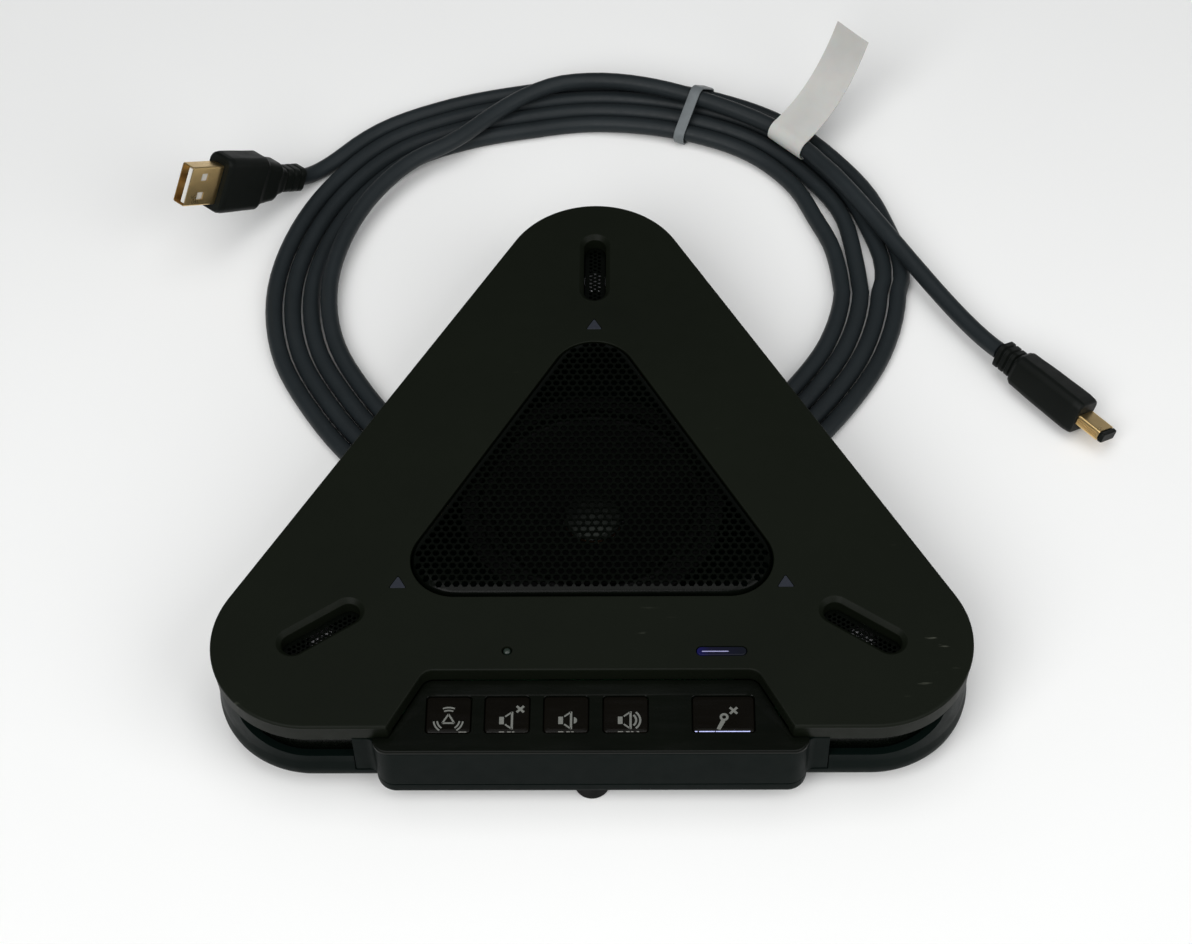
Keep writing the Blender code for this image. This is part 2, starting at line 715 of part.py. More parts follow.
def plug_frame(turn):
    """Unit vectors along a plug, across its thickness and along its width."""
    azimuth, elevation, roll = (math.radians(v) for v in turn)
    level = math.cos(elevation)
    ahead = Vector((level * math.cos(azimuth), level * math.sin(azimuth), math.sin(elevation)))
    side = ahead.cross(Vector((0.0, 0.0, 1.0))).normalized()
    up = side.cross(ahead)
    wide = up * math.cos(roll) + side * math.sin(roll)
    thick = wide.cross(ahead)
    return ahead, thick, wide


def sweep(points, radius, sides):
    """Round tube along a nearly level path."""
    loops = []
    count = len(points)
    for i in range(count):
        before = Vector(points[max(0, i - 1)])
        after = Vector(points[min(count - 1, i + 1)])
        ahead = (after - before).normalized()
        side = ahead.cross(Vector((0.0, 0.0, 1.0))).normalized()
        up = side.cross(ahead)
        here = Vector(points[i])
        loop = []
        for k in range(sides):
            angle = 2.0 * math.pi * (k + 0.5) / sides
            loop.append(tuple(here + side * (radius * math.cos(angle)) + up * (radius * math.sin(angle))))
        loops.append(loop)
    return loft_data(loops)


def along(root, frame, stations, shift=0.0):
    """Loops across a plug; a station is distance, half thickness, half width and corner radius."""
    ahead, thick, wide = frame
    loops = []
    for dist, half_t, half_w, radius in stations:
        centre = Vector(root) + ahead * dist + thick * shift
        outline = rounded_rect(0.0, 0.0, half_t, half_w, radius, 3)
        loops.append([tuple(centre + thick * u + wide * v) for u, v in outline])
    return loops


def build_usb_a(grip, shell, insert):
    frame = plug_frame(USB_A_TURN)
    loft("usb_a_grip", along(USB_A_ROOT, frame, [
        (0.6, 2.8, 3.0, 1.4), (11.0, 3.5, 4.1, 1.6), (13.0, 3.9, 6.0, 1.7), (18.6, 4.0, 6.7, 1.7),
        (20.0, 4.5, 8.4, 1.9), (35.6, 4.6, 8.6, 1.9), (36.6, 4.0, 8.0, 1.7),
    ]), grip)
    loft("usb_a_shell", along(USB_A_ROOT, frame, [
        (36.9, 2.25, 6.0, 0.3), (49.0, 2.25, 6.0, 0.3), (49.0, 1.95, 5.7, 0.2), (37.5, 1.95, 5.7, 0.2),
    ]), shell)
    loft("usb_a_tongue", along(USB_A_ROOT, frame, [
        (37.8, 0.8, 5.4, 0.2), (48.6, 0.8, 5.4, 0.2),
    ], 0.85), insert)


def build_mini(grip, shell):
    frame = plug_frame(MINI_TURN)
    loft("mini_grip", along(MINI_ROOT, frame, [
        (0.6, 3.0, 3.0, 1.5), (6.4, 3.6, 3.8, 1.6), (7.6, 4.4, 4.8, 1.8),
        (28.0, 4.7, 5.2, 1.9), (31.6, 4.1, 4.6, 1.8),
    ]), grip)
    loft("mini_shell", along(MINI_ROOT, frame, [
        (31.9, 3.4, 1.55, 0.5), (39.2, 3.4, 1.55, 0.5), (39.2, 3.1, 1.25, 0.3), (32.5, 3.1, 1.25, 0.3),
    ]), shell)
    loft("mini_tongue", along(MINI_ROOT, frame, [
        (32.8, 2.75, 0.9, 0.2), (39.5, 2.75, 0.9, 0.2), (39.5, 3.3, 1.5, 0.4), (40.8, 3.2, 1.4, 0.4),
    ]), grip)


def build_lead(mats):
    rubber, grip, shell, insert, tie, label = mats
    verts, faces = sweep(lead_points(STEP_DEG), CABLE_R, 8)
    add_mesh("usb_cable", verts, faces, rubber)
    build_usb_a(grip, shell, insert)
    build_mini(grip, shell)
    build_tie(tie)
    build_label(label)


def ring_axes(deg):
    """Outward and clockwise unit vectors of the ring at an angle."""
    angle = math.radians(deg)
    out = Vector((math.cos(angle), math.sin(angle), 0.0))
    return out, Vector((out.y, -out.x, 0.0))


def hull_loop(centres, radius, count):
    """Convex outline round equal discs, sampled by direction."""
    loop = []
    for i in range(count):
        angle = 2.0 * math.pi * (i + 0.5) / count
        nu = math.cos(angle)
        nz = math.sin(angle)
        best = max(centres, key=lambda c: c[0] * nu + c[1] * nz)
        loop.append((best[0] + radius * nu, best[1] + radius * nz))
    return loop


def build_tie(mat):
    """Flat strap once round the bundle."""
    out, ahead = ring_axes(TIE_DEG)
    base = (JOIN_DEG - TIE_DEG) / 360.0
    centres = []
    for turn in range(5):
        point = Vector(coil_point(base + turn)) - Vector((RING_X, RING_Y, 0.0))
        centres.append((point.dot(out), point.z))
    inner = hull_loop(centres, CABLE_R + 0.45, 28)
    outer = hull_loop(centres, CABLE_R + 1.05, 28)
    verts = []
    for shift in (-TIE_W / 2.0, TIE_W / 2.0):
        for loop in (outer, inner):
            for u, z in loop:
                spot = Vector((RING_X, RING_Y, z)) + out * u + ahead * shift
                verts.append(tuple(spot))
    count = len(outer)
    faces = []
    for i in range(count):
        j = (i + 1) % count
        faces.append((i, j, count + j, count + i))
        faces.append((2 * count + i, 3 * count + i, 3 * count + j, 2 * count + j))
        faces.append((i, 2 * count + i, 2 * count + j, j))
        faces.append((count + i, count + j, 3 * count + j, 3 * count + i))
    add_mesh("cable_tie", verts, faces, mat)


def label_path():
    """Middle line of the label: three quarters round the lead, then the tail out and up."""
    radius = CABLE_R + 0.65 + LABEL_T / 2.0
    wrap = arc(0.0, 0.0, radius, 320.0, 90.0, 12)
    tail = []
    for i in range(1, 11):
        t = i / 10.0
        tail.append((26.3 * t * (1.25 - 0.25 * t), radius + LABEL_RISE * (0.18 * t + 0.82 * t * t)))
    return wrap + tail


def build_label(mat):
    """Plain white label: a strip wrapped round the lead with its tail standing out."""
    turn = 4.0 + (JOIN_DEG - LABEL_DEG) / 360.0
    step = 4.0 / 360.0
    before = Vector(coil_point(turn - step))
    after = Vector(coil_point(turn + step))
    base = (Vector(coil_point(turn)) * 2.0 + before + after) / 4.0
    ahead = (after - before).normalized()
    out = Vector((0.0, 0.0, 1.0)).cross(ahead).normalized()
    path = label_path()
    upper = []
    lower = []
    for i in range(len(path)):
        du = path[min(i + 1, len(path) - 1)][0] - path[max(i - 1, 0)][0]
        dz = path[min(i + 1, len(path) - 1)][1] - path[max(i - 1, 0)][1]
        length = math.hypot(du, dz)
        nu = -dz / length * LABEL_T / 2.0
        nz = du / length * LABEL_T / 2.0
        upper.append((path[i][0] + nu, path[i][1] + nz))
        lower.append((path[i][0] - nu, path[i][1] - nz))
    section = upper + lower[::-1]
    loops = []
    for shift in (-LABEL_W / 2.0, LABEL_W / 2.0):
        loops.append([tuple(base + out * u + ahead * shift + Vector((0.0, 0.0, z))) for u, z in section])
    loft("cable_label", loops, mat)


def main():
    clear_scene()
    body = material("body_charcoal", (0.012, 0.013, 0.011), 0.45)
    lower = material("case_charcoal", (0.016, 0.018, 0.019), 0.5)
    gloss = material("panel_gloss", (0.006, 0.006, 0.006), 0.12)
    key = material("key_black", (0.010, 0.009, 0.008), 0.3)
    metal_mesh = material("mesh_black", (0.010, 0.010, 0.010), 0.4, 0.6)
    magnet = material("magnet_steel", (0.35, 0.35, 0.36), 0.35, 1.0)
    frame = material("frame_black", (0.02, 0.02, 0.02), 0.5)
    paper = material("cone_paper", (0.03, 0.03, 0.03), 0.8)
    cap = material("cap_grey", (0.25, 0.25, 0.26), 0.3)
    rubber = material("soft_rubber", (0.02, 0.02, 0.02), 0.7)
    copper = material("coil_copper", (0.7, 0.35, 0.18), 0.35, 1.0)
    board = material("board_green", (0.02, 0.12, 0.05), 0.5)
    steel = material("screw_steel", (0.30, 0.30, 0.30), 0.3, 1.0)
    lamp = material("lamp_violet", (0.10, 0.10, 0.45), 0.2)
    dot = material("lamp_smoke", (0.25, 0.30, 0.27), 0.2)
    mark = material("mark_grey", (0.45, 0.42, 0.50), 0.4)
    slate = material("cable_slate", (0.045, 0.052, 0.065), 0.4)
    grip = material("grip_black", (0.014, 0.014, 0.013), 0.5)
    gold = material("plug_gold", (0.83, 0.60, 0.22), 0.25, 1.0)
    white = material("plug_white", (0.75, 0.75, 0.72), 0.4)
    tie = material("tie_grey", (0.55, 0.56, 0.58), 0.5)
    label = material("label_white", (0.80, 0.80, 0.78), 0.6)
    build_cover(body)
    build_base(lower)
    build_bezel(lower)
    build_panel(gloss)
    build_keys(key, white, frame)
    build_grille(metal_mesh)
    build_speaker(frame, magnet, paper, cap, rubber, copper)
    build_slots(metal_mesh, magnet)
    build_side_mesh(metal_mesh)
    build_lamps(lamp, dot, mark)
    build_boards(board, magnet)
    build_feet(rubber, steel)
    build_lead((slate, grip, gold, white, tie, label))


main()
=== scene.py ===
"""Looks of the conference speakerphone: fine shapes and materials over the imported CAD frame."""
import json
import math
import bmesh
import bpy
from mathutils import Matrix, Vector
from mathutils.geometry import delaunay_2d_cdt


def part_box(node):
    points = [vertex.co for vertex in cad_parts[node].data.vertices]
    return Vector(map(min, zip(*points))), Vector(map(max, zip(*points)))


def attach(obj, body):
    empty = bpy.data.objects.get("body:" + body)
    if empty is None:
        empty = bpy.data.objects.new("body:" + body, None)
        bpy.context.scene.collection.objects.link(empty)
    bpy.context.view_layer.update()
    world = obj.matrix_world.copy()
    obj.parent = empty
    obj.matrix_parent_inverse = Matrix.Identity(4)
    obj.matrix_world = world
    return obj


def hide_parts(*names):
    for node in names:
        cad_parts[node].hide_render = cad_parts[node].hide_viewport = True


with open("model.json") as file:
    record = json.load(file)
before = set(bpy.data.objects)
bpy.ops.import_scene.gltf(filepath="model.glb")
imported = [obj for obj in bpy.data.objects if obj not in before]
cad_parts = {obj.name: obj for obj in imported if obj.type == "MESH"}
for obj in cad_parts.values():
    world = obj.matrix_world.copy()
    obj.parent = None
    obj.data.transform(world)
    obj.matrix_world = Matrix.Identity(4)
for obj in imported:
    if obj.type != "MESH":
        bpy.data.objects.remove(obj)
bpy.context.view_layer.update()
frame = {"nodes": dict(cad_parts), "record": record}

MM = 0.001
FRAME_Y = 64.6
CASE = "case"
LEAD = "usb_lead"


CORNERS = (90.0, 210.0, 330.0)

# Body, in millimetres from the middle of the body
IN_R = 65.66
CORNER_R = 25.6
TOP_Z = 29.3
SKIRT_Z = 23.0
PLATE_T = 2.0
WALL = 2.0
BASE_Z = 5.5
FLOOR_T = 2.0
RIM_Z = 22.7
GAP = 0.3
PANEL_Z = 24.7
STRIP_RISE = 0.2
NOTCH_Y = -49.2
NOTCH_HW = 41.0
NOTCH_SLOPE = 9.0 / 17.0
NOTCH_R = 3.4
NOTCH_END = -69.0
RIB_FRONT = -64.4
PANEL_FRONT = -70.0
PANEL_HW = 53.5
SHOULDER_Y = -65.9
WING_HW = 58.5
WING_Y = -65.5
SEAM_Z = 9.3
FRONT_R = 4.8
SIDE_Z = 15.1
SIDE_TIP_DEG = 44.0
SIDE_RISE = 7.9
SOCKET_Z = 14.6
LIP_BACK = -60.0
PANEL_GAP = 0.15
KEY_FLANGE = 0.8
GRILLE_R = 31.5
GRILLE_CR = 11.5
GRILLE_PITCH = 2.2
GRILLE_HOLE_R = 0.94
GRILLE_MARGIN = 1.7
SCREEN_W = 5.5
SCREEN_Z = 25.0
SLOT_DEG = {"rear": 90.0, "left": 34.5, "right": 145.5}
SLOT_L = 24.4
SLOT_TOP_W = 8.4
SLOT_IN_W = 6.0
COLLAR_W = 9.2
COLLAR_Z = 24.3
MARK_SIDE = 4.2
FOOT_R = 4.5
KEY_NAMES = ("zone", "speaker_mute", "volume_down", "volume_up", "mic_mute")
SCREW_NAMES = ("rear_left", "rear_right", "front_left", "front_right")
FOOT_NAMES = ("front", "rear", "left", "right")

# Lead
CABLE_R = 2.45
RING_X = -4.0
RING_Y = 97.0
RING_R = 79.6
STRAND_PITCH = 5.35
DRIFT = (
    2.5, 2.6, 2.1, 0.4, -3.5, -6.3, -7.0, -7.4, -4.7, -0.6, 1.0, 2.3,
    3.4, 3.0, 1.1, 0.9, 0.8, -0.2, -1.4, -2.6, -3.2, -3.0, -2.1, 0.5,
)
JOIN_DEG = 143.0
LEAVE_DEG = 32.0
UPPER_LIFT = 6.15
TIE_DEG = 64.5
TIE_LIFT = 1.12
TIE_W = 3.2
LABEL_DEG = 41.2
LABEL_W = 12.4
LABEL_T = 0.35
LABEL_RISE = 21.6
USB_A_ROOT = (-88.6, 139.6, 5.5)
USB_A_TURN = (226.2, 35.0, 5.9)
MINI_ROOT = (113.2, 70.6, 6.3)
MINI_TURN = (-48.4, 0.0, -26.0)


# ---------------- places taken from the frame

def low_high(node):
    """Corners of a CAD node in millimetres from the middle of the body."""
    low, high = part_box(node)
    shift = Vector((0.0, FRAME_Y, 0.0))
    return Vector(low) / MM - shift, Vector(high) / MM - shift


def middle(node):
    low, high = low_high(node)
    return (low + high) / 2.0


# ---------------- mesh building

def raw_object(name, verts, faces):
    mesh = bpy.data.meshes.new(name)
    mesh.from_pydata([(x * MM, (y + FRAME_Y) * MM, z * MM) for x, y, z in verts], [], faces)
    bm = bmesh.new()
    bm.from_mesh(mesh)
    bmesh.ops.recalc_face_normals(bm, faces=bm.faces)
    bm.to_mesh(mesh)
    bm.free()
    obj = bpy.data.objects.new(name, mesh)
    bpy.context.scene.collection.objects.link(obj)
    return obj


def bake(obj):
    """Replace the mesh by its modified form."""
    dg = bpy.context.evaluated_depsgraph_get()
    dg.update()
    new = bpy.data.meshes.new_from_object(obj.evaluated_get(dg))
    old = obj.data
    obj.modifiers.clear()
    obj.data = new
    bpy.data.meshes.remove(old)


def combine(obj, parts, operation='DIFFERENCE'):
    """Boolean closed solids with obj and keep the result."""
    verts, faces = joined(parts)
    tool = raw_object("tool", verts, faces)
    mod = obj.modifiers.new("tool", 'BOOLEAN')
    mod.operation = operation
    mod.solver = 'EXACT'
    mod.object = tool
    bake(obj)
    bpy.data.objects.remove(tool, do_unlink=True)


def clean(obj, dist=0.004):
    bm = bmesh.new()
    bm.from_mesh(obj.data)
    bmesh.ops.remove_doubles(bm, verts=bm.verts, dist=dist * MM)
    bmesh.ops.dissolve_degenerate(bm, edges=bm.edges, dist=dist * MM)
    bm.to_mesh(obj.data)
    bm.free()


def shade(obj, sharp):
    bm = bmesh.new()
    bm.from_mesh(obj.data)
    for face in bm.faces:
        face.smooth = True
    for edge in bm.edges:
        edge.smooth = edge.calc_face_angle(0.0) < math.radians(sharp)
    bm.to_mesh(obj.data)
    bm.free()
    mod = obj.modifiers.new("normals", 'WEIGHTED_NORMAL')
    mod.keep_sharp = True
    mod.weight = 60


def finish_piece(obj, slot, body, nodes=(), sharp=34.0, mat=None):
    """Give a piece the finish of its slot, its shading and its body, and hide the CAD nodes that it stands
    for.
    """
    obj.data.materials.clear()
    obj.data.materials.append(mat or MAT[slot])
    shade(obj, sharp)
    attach(obj, body)
    if nodes:
        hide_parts(*nodes)


def piece(name, data, slot, body, nodes=(), sharp=34.0, mat=None):
    finish_piece(raw_object(name, *data), slot, body, nodes, sharp, mat)


def loft_data(loops, closed=False):
    """Tube through equal loops: capped at both ends, or with its last loop joined to the first."""
    count = len(loops[0])
    rows = len(loops)
    verts = [point for loop in loops for point in loop]
    faces = []
    for row in range(rows if closed else rows - 1):
        base = row * count
        above = (row + 1) % rows * count
        for i in range(count):
            j = (i + 1) % count
            faces.append((base + i, base + j, above + j, above + i))
    if not closed:
        faces.append(tuple(range(count - 1, -1, -1)))
        faces.append(tuple(range((rows - 1) * count, rows * count)))
    return verts, faces


def at_z(points, z):
    return [(x, y, z) for x, y in points]


def stack(outline, steps):
    """Solid through an outline drawn at each step: what the outline function takes, and the height."""
    return loft_data([at_z(outline(value), z) for value, z in steps])


def prism_data(points, low, high):
    return loft_data([at_z(points, low), at_z(points, high)])


def joined(parts):
    verts = []
    faces = []
    for part_verts, part_faces in parts:
        base = len(verts)
        verts.extend(part_verts)
        faces.extend([tuple(base + i for i in face) for face in part_faces])
    return verts, faces


def spoke(deg, length=1.0):
    """Step of a length in the plan, turned by an angle from +X."""
    angle = math.radians(deg)
    return length * math.cos(angle), length * math.sin(angle)


def arc(cx, cy, radius, start, end, seg):
    points = []
    for i in range(seg + 1):
        dx, dy = spoke(start + (end - start) * i / seg, radius)
        points.append((cx + dx, cy + dy))
    return points


def triangle(in_radius, corner_r, inset=0.0, cy=0.0, seg=40, cx=0.0):
    """Rounded triangle pointing to +Y, moved inwards by inset."""
    points = []
    for mid in CORNERS:
        dx, dy = spoke(mid, 2.0 * (in_radius - corner_r))
        points.extend(arc(cx + dx, cy + dy, corner_r - inset, mid - 60.0, mid + 60.0, seg))
    return points


def mark_outline(cx, cy, side):
    """Small triangle with slightly soft corners."""
    return triangle(side / math.sqrt(12.0), 0.25, 0.0, cy, 4, cx)


def circle(cx, cy, radius, seg=48):
    return arc(cx, cy, radius, 0.0, 360.0 - 360.0 / seg, seg - 1)


def body_outline(inset):
    return triangle(IN_R, CORNER_R, inset)


def rounded_rect(cx, cy, hx, hy, radius, seg=8):
    points = []
    for sx, sy, start in ((1, 1, 0.0), (-1, 1, 90.0), (-1, -1, 180.0), (1, -1, 270.0)):
        px = cx + sx * (hx - radius)
        py = cy + sy * (hy - radius)
        points.extend(arc(px, py, radius, start, start + 90.0, seg))
    return points


def capsule(cx, cy, length, width, deg, seg=20):
    radius = width / 2.0
    dx, dy = spoke(deg, length / 2.0 - radius)
    points = arc(cx + dx, cy + dy, radius, deg - 90.0, deg + 90.0, seg)
    return points + arc(cx - dx, cy - dy, radius, deg + 90.0, deg + 270.0, seg)


def lathe_data(profile, cx, cy, seg):
    """Solid of revolution: a profile of radius and height, from axis to axis."""
    verts = []
    rows = []
    for radius, z in profile:
        if radius < 1e-6:
            rows.append([len(verts)] * seg)
            verts.append((cx, cy, z))
            continue
        rows.append(list(range(len(verts), len(verts) + seg)))
        verts.extend([(x, y, z) for x, y in circle(cx, cy, radius, seg)])
    faces = []
    for lower, upper in zip(rows, rows[1:]):
        for i in range(seg):
            j = (i + 1) % seg
            face = tuple(dict.fromkeys((lower[i], lower[j], upper[j], upper[i])))
            if len(face) > 2:
                faces.append(face)
    return verts, faces


def box_data(x0, x1, y0, y1, z0, z1):
    return prism_data([(x0, y0), (x1, y0), (x1, y1), (x0, y1)], z0, z1)


def quarter(inset0, z0, radius, steps, up=True):
    """Profile points of an outer edge round: from a wall at inset0, z0 over to the level face."""
    points = []
    for i in range(steps + 1):
        t = math.radians(90.0 * i / steps)
        lift = radius * math.sin(t)
        points.append((inset0 + radius * (1.0 - math.cos(t)), z0 + (lift if up else -lift)))
    return points


# ---------------- materials

class Nodes:
    """Short hand for a node material. A value is a number, a colour, a vector or a node's output."""

    def __init__(self, name):
        self.mat = bpy.data.materials.new(name)
        self.mat.use_nodes = True
        self.tree = self.mat.node_tree
        self.shader = self.tree.nodes["Principled BSDF"]
        self.coord = self.new("ShaderNodeTexCoord").outputs["Object"]

    def feed(self, socket, value):
        if not isinstance(value, (int, float, tuple)):
            self.tree.links.new(value, socket)
        elif socket.type == 'RGBA':
            socket.default_value = value + (1.0,)
        else:
            socket.default_value = value

    def new(self, kind, **values):
        """Add a node. Each name is an input, with underscores for spaces, or else a setting."""
        node = self.tree.nodes.new(kind)
        for key, value in values.items():
            socket = node.inputs.get(key.replace("_", " "))
            if socket is None:
                setattr(node, key, value)
            else:
                self.feed(socket, value)
        return node

    def put(self, **values):
        """Set or link inputs of the shader and hand over the finished material."""
        for key, value in values.items():
            self.feed(self.shader.inputs[key.replace("_", " ")], value)
        return self.mat

    def noise(self, scale, detail=3.0, rough=0.5, coord=None):
        node = self.new("ShaderNodeTexNoise", Scale=scale, Detail=detail, Roughness=rough)
        self.feed(node.inputs["Vector"], coord or self.coord)
        return node.outputs["Fac"]

    def remap(self, value, to_low=0.0, to_high=1.0, low=0.3, high=0.7):
        node = self.new("ShaderNodeMapRange", Value=value, From_Min=low, From_Max=high)
        self.feed(node.inputs["To Min"], to_low)
        self.feed(node.inputs["To Max"], to_high)
        return node.outputs["Result"]

    def times(self, a, b):
        node = self.new("ShaderNodeMath", operation='MULTIPLY')
        self.feed(node.inputs[0], a)
        self.feed(node.inputs[1], b)
        return node.outputs[0]

    def mix(self, fac, a, b):
        node = self.new("ShaderNodeMix", data_type='RGBA')
        for index, value in ((0, fac), (6, a), (7, b)):
            self.feed(node.inputs[index], value)
        return node.outputs[2]

    def tint(self, noise, rgb, low, high):
        """Colour that wanders with a noise between two strengths of rgb."""
        return self.mix(self.remap(noise), dim(rgb, low), dim(rgb, high))

    def stretch(self, scale, turn=(0.0, 0.0, 0.0)):
        return self.new("ShaderNodeMapping", Vector=self.coord, Scale=scale, Rotation=turn).outputs["Vector"]

    def bump(self, height, strength, distance_mm, before=None):
        node = self.new("ShaderNodeBump", Strength=strength, Distance=distance_mm * MM, Height=height)
        if before is not None:
            self.feed(node.inputs["Normal"], before)
        return node.outputs["Normal"]


def dim(rgb, k):
    return tuple(min(1.0, c * k) for c in rgb)


def moulded(name, rgb, rough, grain=0.25, grain_mm=0.35, specular=0.12, spread=0.2, specks=0.0):
    """Moulded plastic or rubber: fine spark-eroded grain, slow tint change, a little handling dust."""
    n = Nodes(name)
    colour = n.tint(n.noise(22.0, 4.0, 0.6), rgb, 1.0 - spread, 1.0 + spread)
    if specks > 0.0:
        dust = n.remap(n.noise(900.0, 1.0, 0.4), 0.0, specks, 0.74, 0.80)
        patch = n.remap(n.noise(35.0, 2.0), 0.0, 1.0, 0.52, 0.66)
        colour = n.mix(n.times(dust, patch), colour, (0.16, 0.16, 0.14))
    return n.put(
        Base_Color=colour,
        Roughness=n.remap(n.noise(260.0, 4.0, 0.65), rough - 0.05, rough + 0.06),
        Normal=n.bump(n.noise(1.0 / (grain_mm * MM), 2.0, 0.6), grain, 0.03),
        Specular_IOR_Level=specular,
    )


def cover_plastic(name, rgb, rough):
    """Cover finish: fine grain with a few short pale scuffs."""
    n = Nodes(name)
    streak = n.noise(1.0, 2.0, 0.5, n.stretch((130.0, 900.0, 130.0), (0.0, 0.0, 0.5)))
    where = n.remap(n.noise(42.0, 1.0, 0.4), 0.0, 0.5, 0.62, 0.70)
    scuff = n.times(n.remap(streak, 0.0, 1.0, 0.70, 0.78), where)
    return n.put(
        Base_Color=n.mix(scuff, n.tint(n.noise(16.0, 4.0, 0.6), rgb, 0.86, 1.14), (0.11, 0.115, 0.09)),
        Roughness=n.remap(n.noise(240.0, 4.0, 0.65), rough - 0.04, rough + 0.05),
        Normal=n.bump(n.noise(3200.0, 2.0, 0.6), 0.22, 0.02),
        Specular_IOR_Level=0.10,
    )


def gloss_panel(name, rgb, rough):
    """Polished plastic with faint wipe marks and an uneven warm tint."""
    n = Nodes(name)
    wipes = n.noise(1.0, 5.0, 0.6, n.stretch((60.0, 420.0, 60.0), (0.0, 0.0, 0.35)))
    return n.put(
        Base_Color=n.tint(n.noise(30.0, 4.0, 0.6), rgb, 0.75, 1.3),
        Roughness=n.remap(wipes, rough, rough + 0.14, 0.35, 0.75),
        Normal=n.bump(n.noise(120.0, 2.0), 0.05, 0.05),
        Specular_IOR_Level=0.09, Coat_Weight=0.04, Coat_Roughness=0.06,
    )


def metal(name, rgb, rough, brush=(60.0, 60.0, 900.0), grain=0.12, spots=0.15):
    """Metal with drawn lines and slight uneven tarnish."""
    n = Nodes(name)
    lines = n.noise(1.0, 3.0, 0.6, n.stretch(brush))
    tarnish = n.remap(n.noise(180.0, 4.0, 0.6), 0.0, 1.0, 0.35, 0.7)
    return n.put(
        Base_Color=n.mix(tarnish, rgb, dim(rgb, 1.0 - spots)),
        Roughness=n.remap(lines, rough - 0.05, rough + 0.08),
        Normal=n.bump(lines, grain, 0.02),
        Metallic=1.0,
    )


def painted_mesh(name, rgb, rough):
    """Semi-gloss paint on perforated sheet, with orange peel."""
    n = Nodes(name)
    peel = n.noise(1500.0, 2.0)
    return n.put(
        Base_Color=n.tint(n.noise(60.0, 3.0, 0.6), rgb, 0.8, 1.3),
        Roughness=n.remap(peel, rough - 0.05, rough + 0.08),
        Normal=n.bump(peel, 0.15, 0.02),
        Specular_IOR_Level=0.09,
    )


def cable_jacket(name, rgb):
    """PVC jacket: satin, faint mottling and fine rub marks."""
    n = Nodes(name)
    mottle = n.noise(700.0, 3.0, 0.6)
    colour = n.tint(n.noise(28.0, 4.0, 0.6), rgb, 0.82, 1.2)
    return n.put(
        Base_Color=n.mix(n.remap(mottle, 0.0, 0.30, 0.66, 0.80), colour, dim(rgb, 2.2)),
        Roughness=n.remap(mottle, 0.38, 0.52),
        Normal=n.bump(n.noise(4200.0, 2.0), 0.12, 0.01, n.bump(mottle, 0.18, 0.05)),
        Specular_IOR_Level=0.16,
    )


def paper(name, rgb):
    """Plain adhesive label stock with faint fibres and waviness."""
    n = Nodes(name)
    fibre = n.noise(1.0, 4.0, 0.7, n.stretch((900.0, 900.0, 2600.0), (0.4, 0.2, 0.1)))
    blotch = n.noise(90.0)
    return n.put(
        Base_Color=n.tint(blotch, rgb, 0.93, 1.04),
        Roughness=n.remap(fibre, 0.52, 0.66),
        Normal=n.bump(fibre, 0.15, 0.02, n.bump(blotch, 0.25, 0.4)),
        Specular_IOR_Level=0.3, Subsurface_Weight=0.25, Subsurface_Scale=0.0006,
    )


def nylon(name, rgb):
    """Milky half clear strap."""
    n = Nodes(name)
    broad = n.noise(300.0)
    return n.put(
        Base_Color=n.tint(broad, rgb, 0.9, 1.1),
        Roughness=n.remap(broad, 0.36, 0.5),
        Normal=n.bump(n.noise(2500.0, 2.0), 0.1, 0.02),
        Specular_IOR_Level=0.3,
    )


def circuit(name):
    """Solder mask with copper tracks under it."""
    n = Nodes(name)
    cells = n.new(
        "ShaderNodeTexBrick", Vector=n.coord, Scale=260.0, Mortar_Size=0.02,
        Color1=(0.010, 0.075, 0.030), Color2=(0.014, 0.095, 0.038), Mortar=(0.030, 0.17, 0.06),
    )
    patch = n.remap(n.noise(90.0), 0.0, 0.5, 0.4, 0.6)
    return n.put(
        Base_Color=n.mix(patch, cells.outputs["Color"], (0.012, 0.085, 0.034)),
        Roughness=0.35,
        Normal=n.bump(cells.outputs["Fac"], 0.3, 0.05),
    )


def winding(name, rgb):
    """Fine wire wound round the coil former."""
    n = Nodes(name)
    wave = n.new("ShaderNodeTexWave", bands_direction='Z', Scale=1400.0, Vector=n.coord).outputs["Fac"]
    colour = n.mix(wave, dim(rgb, 0.6), rgb)
    return n.put(Base_Color=colour, Roughness=0.3, Normal=n.bump(wave, 0.5, 0.1), Metallic=1.0)


def lamp_glass(name, low_x, high_x):
    """Tinted lens, faintly lit: blue at the left and nearly black at the right."""
    n = Nodes(name)
    across = n.new("ShaderNodeSeparateXYZ", Vector=n.coord).outputs["X"]
    ramp = n.new("ShaderNodeValToRGB", Fac=n.remap(across, 0.0, 1.0, low_x * MM, high_x * MM))
    left, right = ramp.color_ramp.elements
    left.color = (0.006, 0.006, 0.050, 1.0)
    right.color = (0.005, 0.006, 0.009, 1.0)
    ramp.color_ramp.elements.new(0.28).color = (0.006, 0.006, 0.016, 1.0)
    rough = n.remap(n.noise(700.0, 2.0), 0.10, 0.2)
    colour = ramp.outputs["Color"]
    return n.put(
        Base_Color=colour, Emission_Color=colour, Emission_Strength=0.3, Roughness=rough,
        Specular_IOR_Level=0.1,
    )


def glow(name, rgb, strength):
    """Clear plastic with light behind it on the lamps; on the key edges the same glow is a painted
    highlight.
    """
    n = Nodes(name)
    colour = n.tint(n.noise(500.0, 2.0), rgb, 0.8, 1.0)
    return n.put(Base_Color=colour, Emission_Color=colour, Emission_Strength=strength, Roughness=0.3)


def ink(name, rgb):
    """Printed symbol under a clear skin: slightly broken ink."""
    n = Nodes(name)
    speck = n.noise(2600.0, 2.0, 0.6)
    colour = n.tint(speck, rgb, 0.82, 1.0)
    return n.put(Base_Color=colour, Roughness=0.4, Normal=n.bump(speck, 0.1, 0.01), Specular_IOR_Level=0.1)


